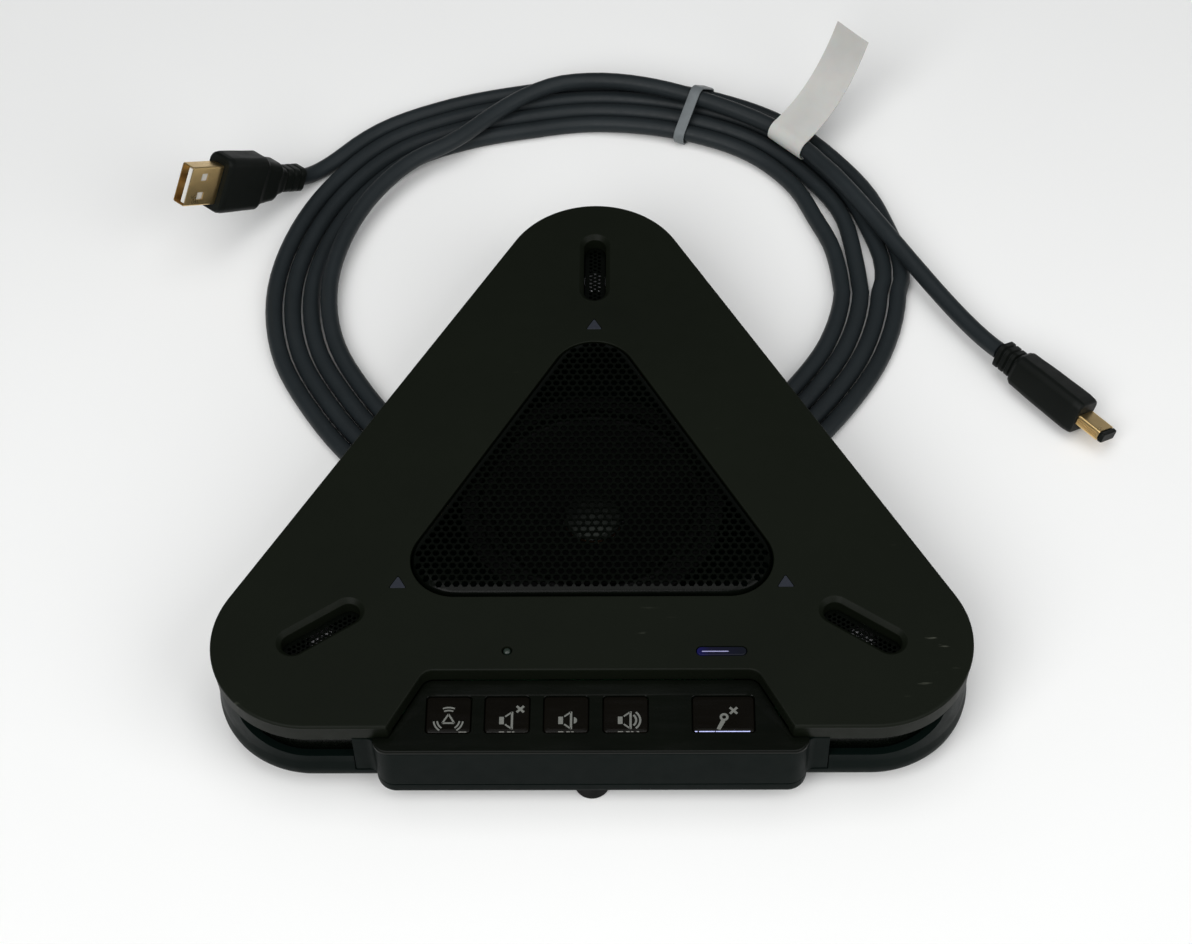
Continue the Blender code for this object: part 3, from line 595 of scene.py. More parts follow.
def make_materials():
    """A finish for each material slot, and those of the symbols and of the painted highlights on the key
    edges.
    """
    # Painted shade: the two near-black colours below are set extra dark so that the speaker's frame, cone
    # and rubber surround stay dark under the grille; the feet and other black parts share them.
    black_and_painted_shade = (0.002, 0.002, 0.002)
    rubber = (0.003, 0.003, 0.003)
    return {
        "body_charcoal": cover_plastic("cover_charcoal", (0.0042, 0.0058, 0.0030), 0.50),
        "case_charcoal": moulded(
            "case_charcoal", (0.0017, 0.0040, 0.0033), 0.44, specular=0.03, specks=0.06),
        "panel_gloss": gloss_panel("panel_gloss", (0.0022, 0.0030, 0.0018), 0.16),
        "key_black": gloss_panel("key_gloss", (0.0026, 0.0021, 0.0012), 0.18),
        "mesh_black": painted_mesh("mesh_paint", (0.0010, 0.0016, 0.0009), 0.24),
        "magnet_steel": metal("magnet_steel", (0.35, 0.35, 0.36), 0.35),
        "frame_black": moulded("frame_black", black_and_painted_shade, 0.5, specular=0.08),
        "cone_paper": moulded("cone_paper", black_and_painted_shade, 0.75, grain=0.5, grain_mm=0.6, specular=0.05),
        # Painted shade: the dust cap's metal is set dark so that its shine stays dim under the grille.
        "cap_grey": metal("cap_satin", (0.032, 0.036, 0.032), 0.48, (200.0, 200.0, 200.0)),
        "soft_rubber": moulded("soft_rubber", rubber, 0.62, grain=0.35, grain_mm=0.25, specular=0.08),
        "coil_copper": winding("coil_copper", (0.70, 0.35, 0.18)),
        "board_green": circuit("board_mask"),
        "screw_steel": metal("screw_steel", (0.30, 0.30, 0.30), 0.3),
        "lamp_smoke": glow("lamp_smoke", (0.013, 0.022, 0.016), 0.02),
        "mark_grey": ink("mark_ink", (0.026, 0.029, 0.038)),
        "cable_slate": cable_jacket("cable_slate", (0.0145, 0.0185, 0.0205)),
        "grip_black": moulded(
            "grip_black", (0.0038, 0.0050, 0.0040), 0.48, grain=0.4, grain_mm=0.22, specular=0.13),
        "plug_gold": metal("plug_gold", (0.80, 0.57, 0.26), 0.28, (120.0, 120.0, 120.0), 0.03, 0.12),
        "plug_white": moulded("insert_white", (0.70, 0.69, 0.65), 0.38, spread=0.05, specular=0.4),
        "tie_grey": nylon("tie_nylon", (0.135, 0.150, 0.156)),
        "label_white": paper("label_paper", (0.53, 0.53, 0.505)),
        "icon_white": ink("icon_ink", (0.165, 0.17, 0.155)),
        # painted highlights on the key edges: self-lit colours that stand in for reflections, blue on the
        # mic mute key
        "painted_edge_highlight": glow("painted_edge_highlight", (0.20, 0.20, 0.18), 0.06),
        "painted_edge_reflection": glow("painted_edge_reflection", (0.50, 0.54, 0.90), 0.5),
    }


MAT = make_materials()


def dress_cad():
    """Give every CAD node the finish of its slot."""
    slots = {row["node"]: row["material_slot"] for row in frame["record"]["subparts"]}
    for node, obj in frame["nodes"].items():
        mat = MAT.get(slots[node], MAT["frame_black"])
        if not obj.data.materials:
            obj.data.materials.append(mat)
        for i in range(len(obj.material_slots)):
            obj.material_slots[i].material = mat


# ---------------- cover

def notch_half(y, out=0.0):
    side = out * math.sqrt(1.0 + NOTCH_SLOPE * NOTCH_SLOPE)
    return NOTCH_HW + (NOTCH_Y - y) * NOTCH_SLOPE + side


def notch_back(out, seg=12):
    """Back edge of the notch over the keys with its two round corners, moved outwards by out."""
    back = NOTCH_Y + out
    corner = max(0.3, NOTCH_R + out)
    slope_deg = math.degrees(math.atan2(1.0, NOTCH_SLOPE))
    x_back = notch_half(back, out) - corner * math.tan(math.radians(slope_deg / 2.0))
    right = arc(x_back, back - corner, corner, 90.0 - slope_deg, 90.0, seg)[::-1]
    return [(-x, y) for x, y in right[::-1]] + right


def notch_outline(out, front):
    half = notch_half(front, out)
    return notch_back(out) + [(half, front), (-half, front)]


def slot_places():
    return [(name, middle("slot_mesh_" + name), deg) for name, deg in SLOT_DEG.items()]


def mark_places():
    """Centre of each small triangle: its box is not centred on it, so go by the lower edge."""
    places = []
    for name in ("rear", "left", "right"):
        low, high = low_high("zone_mark_" + name)
        wide = high.x - low.x
        places.append((name, (low.x + high.x) / 2.0, low.y + wide / (2.0 * math.sqrt(3.0))))
    return places


def cover_ribs():
    """Solids under the plate: round the notch and round each microphone slot."""
    inside = TOP_Z - 1.0
    ribs = [prism_data(notch_outline(1.8, RIB_FRONT), PANEL_Z + 0.25, inside)]
    for _, spot, deg in slot_places():
        outline = capsule(spot.x, spot.y, SLOT_L - SLOT_TOP_W + COLLAR_W, COLLAR_W, deg)
        ribs.append(prism_data(outline, COLLAR_Z, inside))
    return ribs


def cover_cuts():
    """Openings of the cover, each with its upper edge broken."""
    below = TOP_Z - 4.0
    brim = TOP_Z + 0.01
    above = TOP_Z + 1.0
    steps = ((0.0, SKIRT_Z - 2.0), (0.0, TOP_Z - 0.45), (0.06, TOP_Z - 0.24), (0.20, TOP_Z - 0.08))
    cuts = [stack(lambda out: notch_outline(out, NOTCH_END), steps + ((0.42, brim), (0.42, above)))]
    centre_y = middle("dust_cap").y
    steps = ((0.0, TOP_Z - PLATE_T - 1.0), (0.0, TOP_Z - 0.35), (-0.1, TOP_Z - 0.12))
    steps += ((-0.32, brim), (-0.32, above))
    cuts.append(stack(lambda inset: triangle(GRILLE_R, GRILLE_CR, inset, centre_y, 28), steps))
    steps = ((0.0, COLLAR_Z - 1.0), (0.0, TOP_Z - 1.35), (0.2, TOP_Z - 1.1), (2.25, TOP_Z - 0.12))
    steps += ((2.8, brim), (2.8, above))
    length = SLOT_L - SLOT_TOP_W + SLOT_IN_W
    for _, spot, deg in slot_places():
        cuts.append(stack(lambda grow: capsule(spot.x, spot.y, length + grow, SLOT_IN_W + grow, deg), steps))
    for _, cx, cy in mark_places():
        cuts.append(prism_data(mark_outline(cx, cy, MARK_SIDE + 0.4), below, above))
    dot = middle("lamp_dot")
    steps = ((1.25, below), (1.25, TOP_Z - 0.2), (1.42, brim), (1.42, above))
    cuts.append(stack(lambda radius: circle(dot.x, dot.y, radius, 32), steps))
    bar = middle("lamp_bar")
    cuts.append(prism_data(capsule(bar.x, bar.y, 12.8, 2.9, 0.0), below, above))
    return cuts


def build_cover():
    profile = [(WALL + 0.3, TOP_Z - PLATE_T), (WALL + 0.3, SKIRT_Z), (0.6, SKIRT_Z), (0.42, SKIRT_Z + 0.07)]
    profile += [(0.35, SKIRT_Z + 0.25), (0.35, TOP_Z - 1.35), (0.28, TOP_Z - 1.22), (0.06, TOP_Z - 1.0)]
    profile += [(0.0, TOP_Z - 0.85)] + quarter(0.0, TOP_Z - 0.7, 0.7, 6)
    cover = raw_object("cover_shell", *stack(body_outline, profile))
    combine(cover, cover_ribs(), 'UNION')
    combine(cover, cover_cuts())
    clean(cover)
    finish_piece(cover, "body_charcoal", CASE, ("top_cover",), 40.0)


def build_marks_and_lamps():
    steps = ((MARK_SIDE, TOP_Z - 1.6), (MARK_SIDE, TOP_Z - 0.1), (MARK_SIDE - 0.25, TOP_Z))
    for name, cx, cy in mark_places():
        data = stack(lambda side: mark_outline(cx, cy, side), steps)
        piece("mark_" + name, data, "mark_grey", CASE, ("zone_mark_" + name,))
    bar = middle("lamp_bar")
    steps = ((0.0, TOP_Z - 2.2), (0.0, TOP_Z - 0.25), (-0.15, TOP_Z - 0.02), (-0.6, TOP_Z + 0.05))
    lens = stack(lambda grow: capsule(bar.x, bar.y, 12.3 + grow, 2.4 + grow, 0.0), steps)
    glass = lamp_glass("lamp_lens", bar.x - 6.2, bar.x + 6.2)
    piece("lamp_bar_lens", lens, "lamp_violet", CASE, ("lamp_bar",), mat=glass)
    line = prism_data(capsule(bar.x - 1.6, bar.y - 0.15, 6.6, 0.26, 0.0, 8), TOP_Z + 0.02, TOP_Z + 0.07)
    piece("lamp_bar_line", line, "lamp_violet", CASE, mat=glow("lamp_line", (0.30, 0.30, 0.50), 0.35))
    dot = middle("lamp_dot")
    dome = [(0.0, TOP_Z - 2.2), (0.9, TOP_Z - 2.2), (0.9, TOP_Z - 0.35), (0.78, TOP_Z - 0.12)]
    dome += [(0.52, TOP_Z - 0.01), (0.0, TOP_Z + 0.04)]
    piece("lamp_dot_lens", lathe_data(dome, dot.x, dot.y, 32), "lamp_smoke", CASE, ("lamp_dot",), 60.0)


# ---------------- perforated sheets

def hex_holes(inside, pitch, reach, centre=(0.0, 0.0), turn=0.0):
    """Centres of a staggered pattern that pass the test."""
    row = pitch * math.sqrt(3.0) / 2.0
    spots = []
    rows = int(reach / row) + 1
    cols = int(reach / pitch) + 1
    co, si = spoke(turn)
    for j in range(-rows, rows + 1):
        for i in range(-cols, cols + 1):
            u = (i + 0.5 * (j % 2)) * pitch
            v = j * row
            x = centre[0] + u * co - v * si
            y = centre[1] + u * si + v * co
            if inside(x, y):
                spots.append((x, y))
    return spots


def sheet_with_holes(outline, spots, hole_r, sides, turn=0.0, extra=()):
    """Flat triangulated sheet with polygon holes: 2-D points and triangles."""
    points = [Vector(p) for p in outline]
    count = len(outline)
    edges = [(i, (i + 1) % count) for i in range(count)]
    for x, y in spots:
        base = len(points)
        half = 180.0 / sides
        corners = arc(x, y, hole_r, turn + half, turn + 360.0 - half, sides - 1)
        points.extend([Vector(corner) for corner in corners])
        edges.extend([(base + k, base + (k + 1) % sides) for k in range(sides)])
    points.extend([Vector(p) for p in extra])
    verts, _, faces, _, _, _ = delaunay_2d_cdt(points, edges, [], 1, 1e-5)
    size = hole_r * 2.5
    cells = {}
    for x, y in spots:
        cells.setdefault((x // size, y // size), []).append((x, y))
    limit = (hole_r * math.cos(math.pi / sides) * 0.97) ** 2

    def in_hole(x, y):
        for a in (-1, 0, 1):
            for b in (-1, 0, 1):
                for hx, hy in cells.get((x // size + a, y // size + b), ()):
                    if (x - hx) ** 2 + (y - hy) ** 2 < limit:
                        return True
        return False

    kept = []
    for face in faces:
        cx = sum(verts[i][0] for i in face) / len(face)
        cy = sum(verts[i][1] for i in face) / len(face)
        if not in_hole(cx, cy):
            kept.append(tuple(face))
    return [tuple(v) for v in verts], kept


def thick_sheet(front, back, faces):
    """Closed sheet between two matching surfaces."""
    count = len(front)
    solid = list(faces) + [tuple(count + i for i in face[::-1]) for face in faces]
    edges = dict.fromkeys((face[i - 1], face[i]) for face in faces for i in range(len(face)))
    solid += [(b, a, count + a, count + b) for a, b in edges if (b, a) not in edges]
    return front + back, solid


def lowered(points, depth):
    return [(x, y, z - depth) for x, y, z in points]


def grille_inset(x, y):
    """Distance inwards from the edge of the grille; x and y go from the middle of the grille."""
    reach = GRILLE_R - GRILLE_CR
    best = min(reach - x * nx - y * ny for nx, ny in (spoke(mid - 60.0) for mid in CORNERS))
    if best >= 0.0:
        return GRILLE_CR + best
    tips = [spoke(mid, 2.0 * reach) for mid in CORNERS]
    spread = []
    for (ax, ay), (bx, by) in zip(tips, tips[1:] + tips[:1]):
        t = ((x - ax) * (bx - ax) + (y - ay) * (by - ay)) / ((bx - ax) ** 2 + (by - ay) ** 2)
        t = min(1.0, max(0.0, t))
        spread.append(math.hypot(x - ax - t * (bx - ax), y - ay - t * (by - ay)))
    return GRILLE_CR - min(spread)


GRILLE_PROFILE = (
    (0.45, 28.3), (0.5, 29.0), (0.7, 29.55), (1.1, 29.95), (1.8, 30.3), (2.8, 30.46), (4.0, 30.5),
)


def grille_height(inset):
    points = GRILLE_PROFILE
    if inset <= points[0][0]:
        return points[0][1]
    for (a, za), (b, zb) in zip(points, points[1:]):
        if inset <= b:
            return za + (zb - za) * (inset - a) / (b - a)
    return points[-1][1]


def build_grille():
    cy = middle("dust_cap").y

    def edge(inset, seg):
        return triangle(GRILLE_R, GRILLE_CR, inset, cy, seg)

    spots = hex_holes(lambda x, y: grille_inset(x, y - cy) > GRILLE_MARGIN, GRILLE_PITCH, 62.0, (0.0, cy))
    extra = []
    for inset in (0.58, 0.8, 1.2):
        ring = edge(inset, 30)
        for (ax, ay), (bx, by) in zip(ring, ring[1:] + ring[:1]):
            parts = max(1, int(math.hypot(bx - ax, by - ay) / 1.6))
            extra.extend([(ax + (bx - ax) * k / parts, ay + (by - ay) * k / parts) for k in range(parts)])
    extra = [p for p in extra if all(math.hypot(p[0] - x, p[1] - y) > 1.02 for x, y in spots)]
    flat, faces = sheet_with_holes(edge(0.45, 36), spots, GRILLE_HOLE_R, 6, 30.0, extra)
    verts = [(x, y, grille_height(grille_inset(x, y - cy))) for x, y in flat]
    data = thick_sheet(verts, lowered(verts, 0.55), faces)
    piece("grille_sheet", data, "mesh_black", CASE, ("speaker_grille",), 50.0)
    corners = ((1.3, 27.4), (0.5, 27.4), (0.5, 28.2), (1.3, 28.2))
    skirt = loft_data([at_z(edge(inset, 36), z) for inset, z in corners], closed=True)
    piece("grille_skirt", skirt, "mesh_black", CASE)


def build_slot_meshes():
    radius = SCREEN_W / 2.0
    length = SLOT_L - SLOT_TOP_W + SCREEN_W
    for name, spot, deg in slot_places():
        dx, dy = spoke(deg)

        def inside(x, y):
            u = (x - spot.x) * dx + (y - spot.y) * dy
            v = -(x - spot.x) * dy + (y - spot.y) * dx
            over = max(0.0, abs(u) - (length / 2.0 - radius))
            return math.hypot(over, v) < radius - 0.75

        spots = hex_holes(inside, 1.35, length, (spot.x, spot.y), deg)
        outline = capsule(spot.x, spot.y, length, SCREEN_W, deg, 16)
        flat, faces = sheet_with_holes(outline, spots, 0.5, 8, deg)
        verts = at_z(flat, SCREEN_Z)
        data = thick_sheet(verts, lowered(verts, 0.5), faces)
        piece("slot_screen_" + name, data, "mesh_black", CASE, ("slot_mesh_" + name,), 50.0)


# ---------------- case, bezel, panel

def ring_path(inset, seg):
    """Plan line from the left wing round the front corner, moved inwards by inset."""
    cx, cy = spoke(210.0, 2.0 * (IN_R - CORNER_R))
    straight = [(-WING_HW + 0.2 - 1.8 * i, -IN_R + inset) for i in range(6)]
    straight = [point for point in straight if point[0] > cx + 0.2]
    return straight + arc(cx, cy, CORNER_R - inset, 270.0, 270.0 - SIDE_TIP_DEG, seg)


def side_cut(mirror, seg=28):
    """Sound slot cut round a front corner: its lower edge curves up to a point at the far end."""
    outer = ring_path(-2.0, seg)
    inner = ring_path(WALL + 3.0, seg)
    bend = len(outer) - seg - 1
    top = RIM_Z + 2.0
    loops = []
    for i, ((ox, oy), (ix, iy)) in enumerate(zip(outer, inner)):
        t = max(0.0, (i - bend) / seg)
        z = SIDE_Z + SIDE_RISE * (1.0 - math.sqrt(max(0.0, 1.0 - t * t)))
        corners = ((ox, oy, z), (ox, oy, top), (ix, iy, top), (ix, iy, z))
        loops.append([(px * mirror, py, pz) for px, py, pz in corners])
    return loft_data(loops)


def lip_outline(inset):
    hw = PANEL_HW - inset
    front = PANEL_FRONT + inset
    radius = FRONT_R + 0.2 - inset
    points = arc(-hw + radius, front + radius, radius, 180.0, 270.0, 14)
    points += arc(hw - radius, front + radius, radius, 270.0, 360.0, 14)
    return points + [(hw, LIP_BACK), (-hw, LIP_BACK)]


def socket_cut():
    """Opening for the socket, square to the right-hand side of the body."""
    nx, ny = spoke(30.0)
    half_w = 4.4
    half_h = 2.6
    corners = []
    for inset, side in ((-1.0, -half_w), (-1.0, half_w), (8.0, half_w), (8.0, -half_w)):
        reach = IN_R - inset
        corners.append((reach * nx - side * ny, reach * ny + side * nx))
    return prism_data(corners, SOCKET_Z - half_h, SOCKET_Z + half_h)


def build_case():
    profile = [(WALL + 1.9, BASE_Z + FLOOR_T), (WALL + 0.5, 13.4), (WALL + 0.4, RIM_Z), (0.6, RIM_Z)]
    profile += [(0.5, RIM_Z - 0.1), (0.5, 13.0), (0.4, 12.0), (0.1, 10.0), (0.05, 9.0), (0.12, 7.9)]
    profile += [(0.3, 7.0), (0.6, 6.35), (0.95, 5.95), (1.4, 5.66), (1.9, BASE_Z)]
    case = raw_object("case_shell", *stack(body_outline, profile))
    seam = SEAM_Z - 0.15
    lip = ((0.8, BASE_Z), (0.4, 5.7), (0.12, 6.2), (0.0, 7.0), (0.0, SEAM_Z - 0.3), (0.12, seam))
    combine(case, [stack(lip_outline, lip)], 'UNION')
    combine(case, [side_cut(1.0), side_cut(-1.0)])
    cuts = [box_data(-WING_HW - GAP, WING_HW + GAP, -75.0, -61.5, seam, RIM_Z + 3.0)]
    for name in FOOT_NAMES:
        spot = middle("foot_" + name)
        cuts.append(prism_data(circle(spot.x, spot.y, FOOT_R + 0.3, 40), BASE_Z - 1.0, BASE_Z + 0.8))
    well = [(0.0, BASE_Z - 1.0), (3.2, BASE_Z - 1.0), (3.2, 7.2), (0.0, 7.2)]
    for name in SCREW_NAMES:
        spot = middle("screw_" + name)
        cuts.append(lathe_data(well, spot.x, spot.y, 32))
    cuts.append(socket_cut())
    combine(case, cuts)
    clean(case)
    finish_piece(case, "case_charcoal", CASE, ("bottom_case",), 38.0)


def bezel_outline(out):
    """Outer line of the front face from the left wing tip to the right one, moved inwards by out."""
    front = PANEL_FRONT + out
    radius = FRONT_R - out
    wing = WING_Y + out
    fillet = 2.2 + out
    corner_x = -PANEL_HW + out + radius
    rise = front + radius - wing + fillet
    lean = math.degrees(math.asin(rise / (radius + fillet)))
    across = math.sqrt((radius + fillet) ** 2 - rise * rise)
    left = [(-WING_HW, wing)]
    left += arc(corner_x - across, wing - fillet, fillet, 90.0, lean, 10)
    left += arc(corner_x, front + radius, radius, 180.0 + lean, 270.0, 14)[1:]
    return left + [(-x, y) for x, y in left[::-1]]


def build_bezel():
    inner = bezel_outline(WALL)[::-1]
    steps = ((0.25, SEAM_Z), (0.06, SEAM_Z + 0.1), (0.0, SEAM_Z + 0.3), (0.0, 23.45), (0.1, 23.75))
    data = stack(lambda out: bezel_outline(out) + inner, steps)
    piece("front_face", data, "case_charcoal", CASE, ("front_bezel",))


def panel_loop(inset, strip, z_front, z_back):
    """Panel plan moved inwards by inset, its back edge by strip more, with a height for front and back."""
    back = notch_back(-PANEL_GAP - inset - strip)
    shoulder = SHOULDER_Y - inset * 0.1
    side = [(notch_half(SHOULDER_Y, -PANEL_GAP - inset), shoulder), (PANEL_HW - inset, shoulder)]
    radius = FRONT_R - 0.8
    side += arc(PANEL_HW - radius, PANEL_FRONT + radius, radius - inset, 0.0, -90.0, 12)
    return at_z(back, z_back) + at_z(side + [(-x, y) for x, y in side[::-1]], z_front)


def key_place(key):
    """Middle and half sizes of a key's window, then the bottom and the top of the key."""
    low, high = low_high("key_" + key)
    half = (high - low) / 2.0
    return (low + high) / 2.0, half.x - KEY_FLANGE, half.y - KEY_FLANGE, low.z, high.z


def key_block(mid, hx, hy, steps):
    """Solid over a key; a step is growth, corner radius and height."""
    return loft_data([
        at_z(rounded_rect(mid.x, mid.y, hx + grow, hy + grow, radius), z) for grow, radius, z in steps
    ])


def build_panel():
    top = PANEL_Z
    high = PANEL_Z + STRIP_RISE
    steps = ((0.0, 0.0, 23.86, 23.86), (0.0, 0.0, top - 0.42, high - 0.32))
    steps += ((0.06, 0.0, top - 0.2, high - 0.1), (0.18, 0.0, top - 0.06, high - 0.02))
    steps += ((0.36, 0.0, top, high), (0.6, 3.3, top, top + 0.05), (0.8, 3.6, top, top))
    panel = raw_object("panel_plate", *loft_data([panel_loop(*step) for step in steps]))
    steps = ((0.2, 1.0, 21.0), (0.2, 1.0, top - 0.12), (0.32, 1.1, top + 0.01), (0.32, 1.1, top + 1.5))
    combine(panel, [key_block(*key_place(key)[:3], steps) for key in KEY_NAMES])
    clean(panel)
    finish_piece(panel, "panel_gloss", CASE, ("control_panel",), 30.0)


# ---------------- keys and their symbols

def polyline(points, width):
    """Flat band along a line, as an outline."""
    left = []
    right = []
    for i in range(len(points)):
        a = Vector(points[max(0, i - 1)])
        b = Vector(points[min(len(points) - 1, i + 1)])
        d = (b - a).normalized()
        n = Vector((-d.y, d.x)) * width / 2.0
        p = Vector(points[i])
        left.append(tuple(p + n))
        right.append(tuple(p - n))
    return left + right[::-1]


def cross_shapes(cx, cy, reach, width):
    """Two crossing bars, as one twelve-sided outline."""
    half = width / 2.0
    points = []
    for k in range(4):
        d = Vector(spoke(45.0 + 90.0 * k))
        n = Vector((-d.y, d.x))
        c = Vector((cx, cy))
        points.append(tuple(c + d * half - n * half))
        points.append(tuple(c + d * reach - n * half))
        points.append(tuple(c + d * reach + n * half))
    return [points]


def speaker_shapes(waves):
    """Loudspeaker symbol about the key centre: box, open horn, waves."""
    mid = -1.75
    shapes = [[(-1.9, mid - 1.05), (-0.75, mid - 1.05), (-0.75, mid + 1.05), (-1.9, mid + 1.05)]]
    horn = [(-0.45, mid - 1.1), (1.15, mid - 2.35), (1.15, mid + 2.35), (-0.45, mid + 1.1)]
    shapes.append(polyline([horn[3], horn[2]], 0.42))
    shapes.append(polyline([horn[0], horn[1]], 0.42))
    shapes.append([(0.95, mid - 2.5), (1.5, mid - 2.5), (1.5, mid + 2.5), (0.95, mid + 2.5)])
    if waves == 1:
        shapes.append(arc(1.75, mid, 0.95, -80.0, 80.0, 8))
    if waves == 2:
        for radius, half in ((2.0, 48.0), (3.0, 50.0)):
            shapes.append(polyline(arc(0.6, mid, radius, -half, half, 8), 0.5))
    return shapes


def mic_shapes():
    shapes = []
    ring = circle(0.15, -0.9, 1.1, 24)
    hole = circle(0.15, -0.9, 0.5, 24)
    for i in range(24):
        shapes.append([ring[i - 1], ring[i], hole[i], hole[i - 1]])
    shapes.append([(-0.62, -1.75), (0.42, -2.15), (-0.85, -4.55), (-1.75, -4.3)])
    return shapes + cross_shapes(2.5, 0.95, 1.25, 0.62)


def zone_shapes():
    """Plain symbol: the triangular body with a pick-up arc at each corner."""
    shapes = []
    cy = -1.6
    tips = triangle(0.85, 0.0, 0.0, cy, 1)[::2]
    for i in range(3):
        shapes.append(polyline([tips[i - 1], tips[i]], 0.45))
    for deg in CORNERS:
        for radius in (2.75, 3.6):
            shapes.append(polyline(arc(0.0, cy, radius, deg - 24.0, deg + 24.0, 8), 0.42))
    return shapes


def flat_parts(shapes, cx, cy, low, high):
    return [prism_data([(cx + x, cy + y) for x, y in shape], low, high) for shape in shapes]


def build_keys():
    symbols = {
        "zone": zone_shapes(),
        "speaker_mute": speaker_shapes(0) + cross_shapes(3.2, 1.5, 1.25, 0.62),
        "volume_down": speaker_shapes(1),
        "volume_up": speaker_shapes(2),
        "mic_mute": mic_shapes(),
    }
    for key in KEY_NAMES:
        body = "key_" + key
        mid, hx, hy, low, top = key_place(key)
        steps = [(KEY_FLANGE, 1.0, low), (KEY_FLANGE, 1.0, low + 0.9), (0.0, 0.9, low + 0.9)]
        steps += [(-inset, 0.95 - inset * 0.5, z) for inset, z in quarter(0.0, top - 0.36, 0.3, 5)]
        steps += [(-0.9, 0.8, top - 0.02), (-1.1, 0.8, top)]
        piece("keycap_" + key, key_block(mid, hx, hy, steps), "key_black", body, (body,), 40.0)
        data = joined(flat_parts(symbols[key], mid.x, mid.y, top - 0.02, top + 0.03))
        piece("symbol_" + key, data, "key_black", body, mat=MAT["icon_white"])
        build_key_painted_highlights(key, mid, hx, mid.y - hy + 0.2, top - 0.1)


def build_key_painted_highlights(key, mid, hx, y, z):
    """Painted highlight: thin self-lit strips along the front edge of the cap stand in for the reflections
    caught there, blue on the mic mute key.
    """
    spans = [(-1.9, -0.6), (0.1, 1.0), (1.3, 1.9)]
    if key == "mic_mute":
        spans = [(-hx + 0.5, -hx + 1.1), (-hx + 1.5, -2.2), (-2.0, hx - 1.1)]
    elif key == "zone":
        spans = [(2.6, hx - 0.9)]
    elif key == "volume_up":
        spans.append((2.7, 3.3))
    parts = [box_data(mid.x + a, mid.x + b, y - 0.1, y + 0.1, z - 0.05, z + 0.06) for a, b in spans]
    mat = MAT["painted_edge_reflection" if key == "mic_mute" else "painted_edge_highlight"]
    piece("key_painted_highlight_" + key, joined(parts), "key_black", "key_" + key, mat=mat)


# ---------------- underside and inside

def build_feet_and_screws():
    pad = [(0.0, 0.0), (3.0, 0.0)]
    pad += [(FOOT_R - inset, z) for inset, z in quarter(0.0, 0.75, 0.75, 6, False)[::-1]]
    pad += [(FOOT_R, BASE_Z + 0.5), (0.0, BASE_Z + 0.5)]
    for name in FOOT_NAMES:
        spot = middle("foot_" + name)
        data = lathe_data(pad, spot.x, spot.y, 48)
        piece("pad_" + name, data, "soft_rubber", CASE, ("foot_" + name,))
    head = [(0.0, 6.1), (1.9, 6.1), (2.45, 6.25), (2.75, 6.6), (2.8, 7.1), (0.0, 7.1)]
    for name in SCREW_NAMES:
        spot = middle("screw_" + name)
        screw = raw_object("screw_head_" + name, *lathe_data(head, spot.x, spot.y, 40))
        for hx, hy in ((1.5, 0.32), (0.32, 1.5)):
            combine(screw, [box_data(spot.x - hx, spot.x + hx, spot.y - hy, spot.y + hy, 5.0, 6.75)])
        finish_piece(screw, "screw_steel", CASE, ("screw_" + name,))


# ---------------- lead

def bump_step(x, low, high):
    t = min(1.0, max(0.0, (x - low) / (high - low)))
    return t * t * (3.0 - 2.0 * t)


def drift(deg):
    """Smooth closed curve through the DRIFT values."""
    spot = (deg % 360.0) / 15.0
    i = int(spot)
    t = spot - i
    a, b, c, d = (DRIFT[(i + k) % len(DRIFT)] for k in (-1, 0, 1, 2))
    curve = 2.0 * a - 5.0 * b + 4.0 * c - d + t * (3.0 * (b - c) + d - a)
    return b + 0.5 * t * (c - a + t * curve)


def parting(turn, deg):
    """Two gaps on the right where neighbouring strands stand apart."""
    inner = 1.5 * math.exp(-((deg - 22.0) / 8.0) ** 2)
    outer = 1.6 * math.exp(-((deg - 7.0) / 8.0) ** 2)
    if turn > 4.0:
        return 0.0
    if turn > 2.83:
        return -inner - 0.4 * outer
    if turn > 1.83:
        return 0.6 * inner - 0.4 * outer
    return 0.6 * inner + outer


def coil_radius(turn):
    """Distance from the ring centre after so many turns: one strand further in for each turn."""
    inwards = (2.0 - min(turn, 4.04)) * STRAND_PITCH
    outer = RING_R + 1.4 + 4.8 * (1.0 - bump_step(turn, 4.15, 4.26))
    back_out = bump_step(turn, 4.03, 4.14) * (outer - (RING_R - 2.04 * STRAND_PITCH))
    return RING_R + inwards + back_out


def coil_point(turn):
    """Centre of the lead on the ring, clockwise from where the USB-A end joins it."""
    deg = (JOIN_DEG - 360.0 * turn) % 360.0
    rise = UPPER_LIFT * bump_step(turn, 3.8, 4.01)
    off_tie = abs((deg - TIE_DEG + 180.0) % 360.0 - 180.0)
    rise += TIE_LIFT * (1.0 - bump_step(off_tie, 6.0, 30.0))
    dx, dy = spoke(deg, coil_radius(turn) + drift(deg) + parting(turn, deg))
    return (RING_X + dx, RING_Y + dy, CABLE_R + rise)


def bezier(p0, p1, p2, p3, count):
    points = []
    for i in range(1, count + 1):
        t = i / count
        s = 1.0 - t
        weights = (s * s * s, 3.0 * s * s * t, 3.0 * s * t * t, t * t * t)
        points.append(tuple(sum(w * p[k] for w, p in zip(weights, (p0, p1, p2, p3))) for k in range(3)))
    return points


def plug_frame(turn):
    azimuth, elevation, roll = (math.radians(v) for v in turn)
    level = math.cos(elevation)
    ahead = Vector((level * math.cos(azimuth), level * math.sin(azimuth), math.sin(elevation)))
    side = ahead.cross(Vector((0.0, 0.0, 1.0))).normalized()
    up = side.cross(ahead)
    wide = up * math.cos(roll) + side * math.sin(roll)
    thick = wide.cross(ahead)
    return ahead, thick, wide


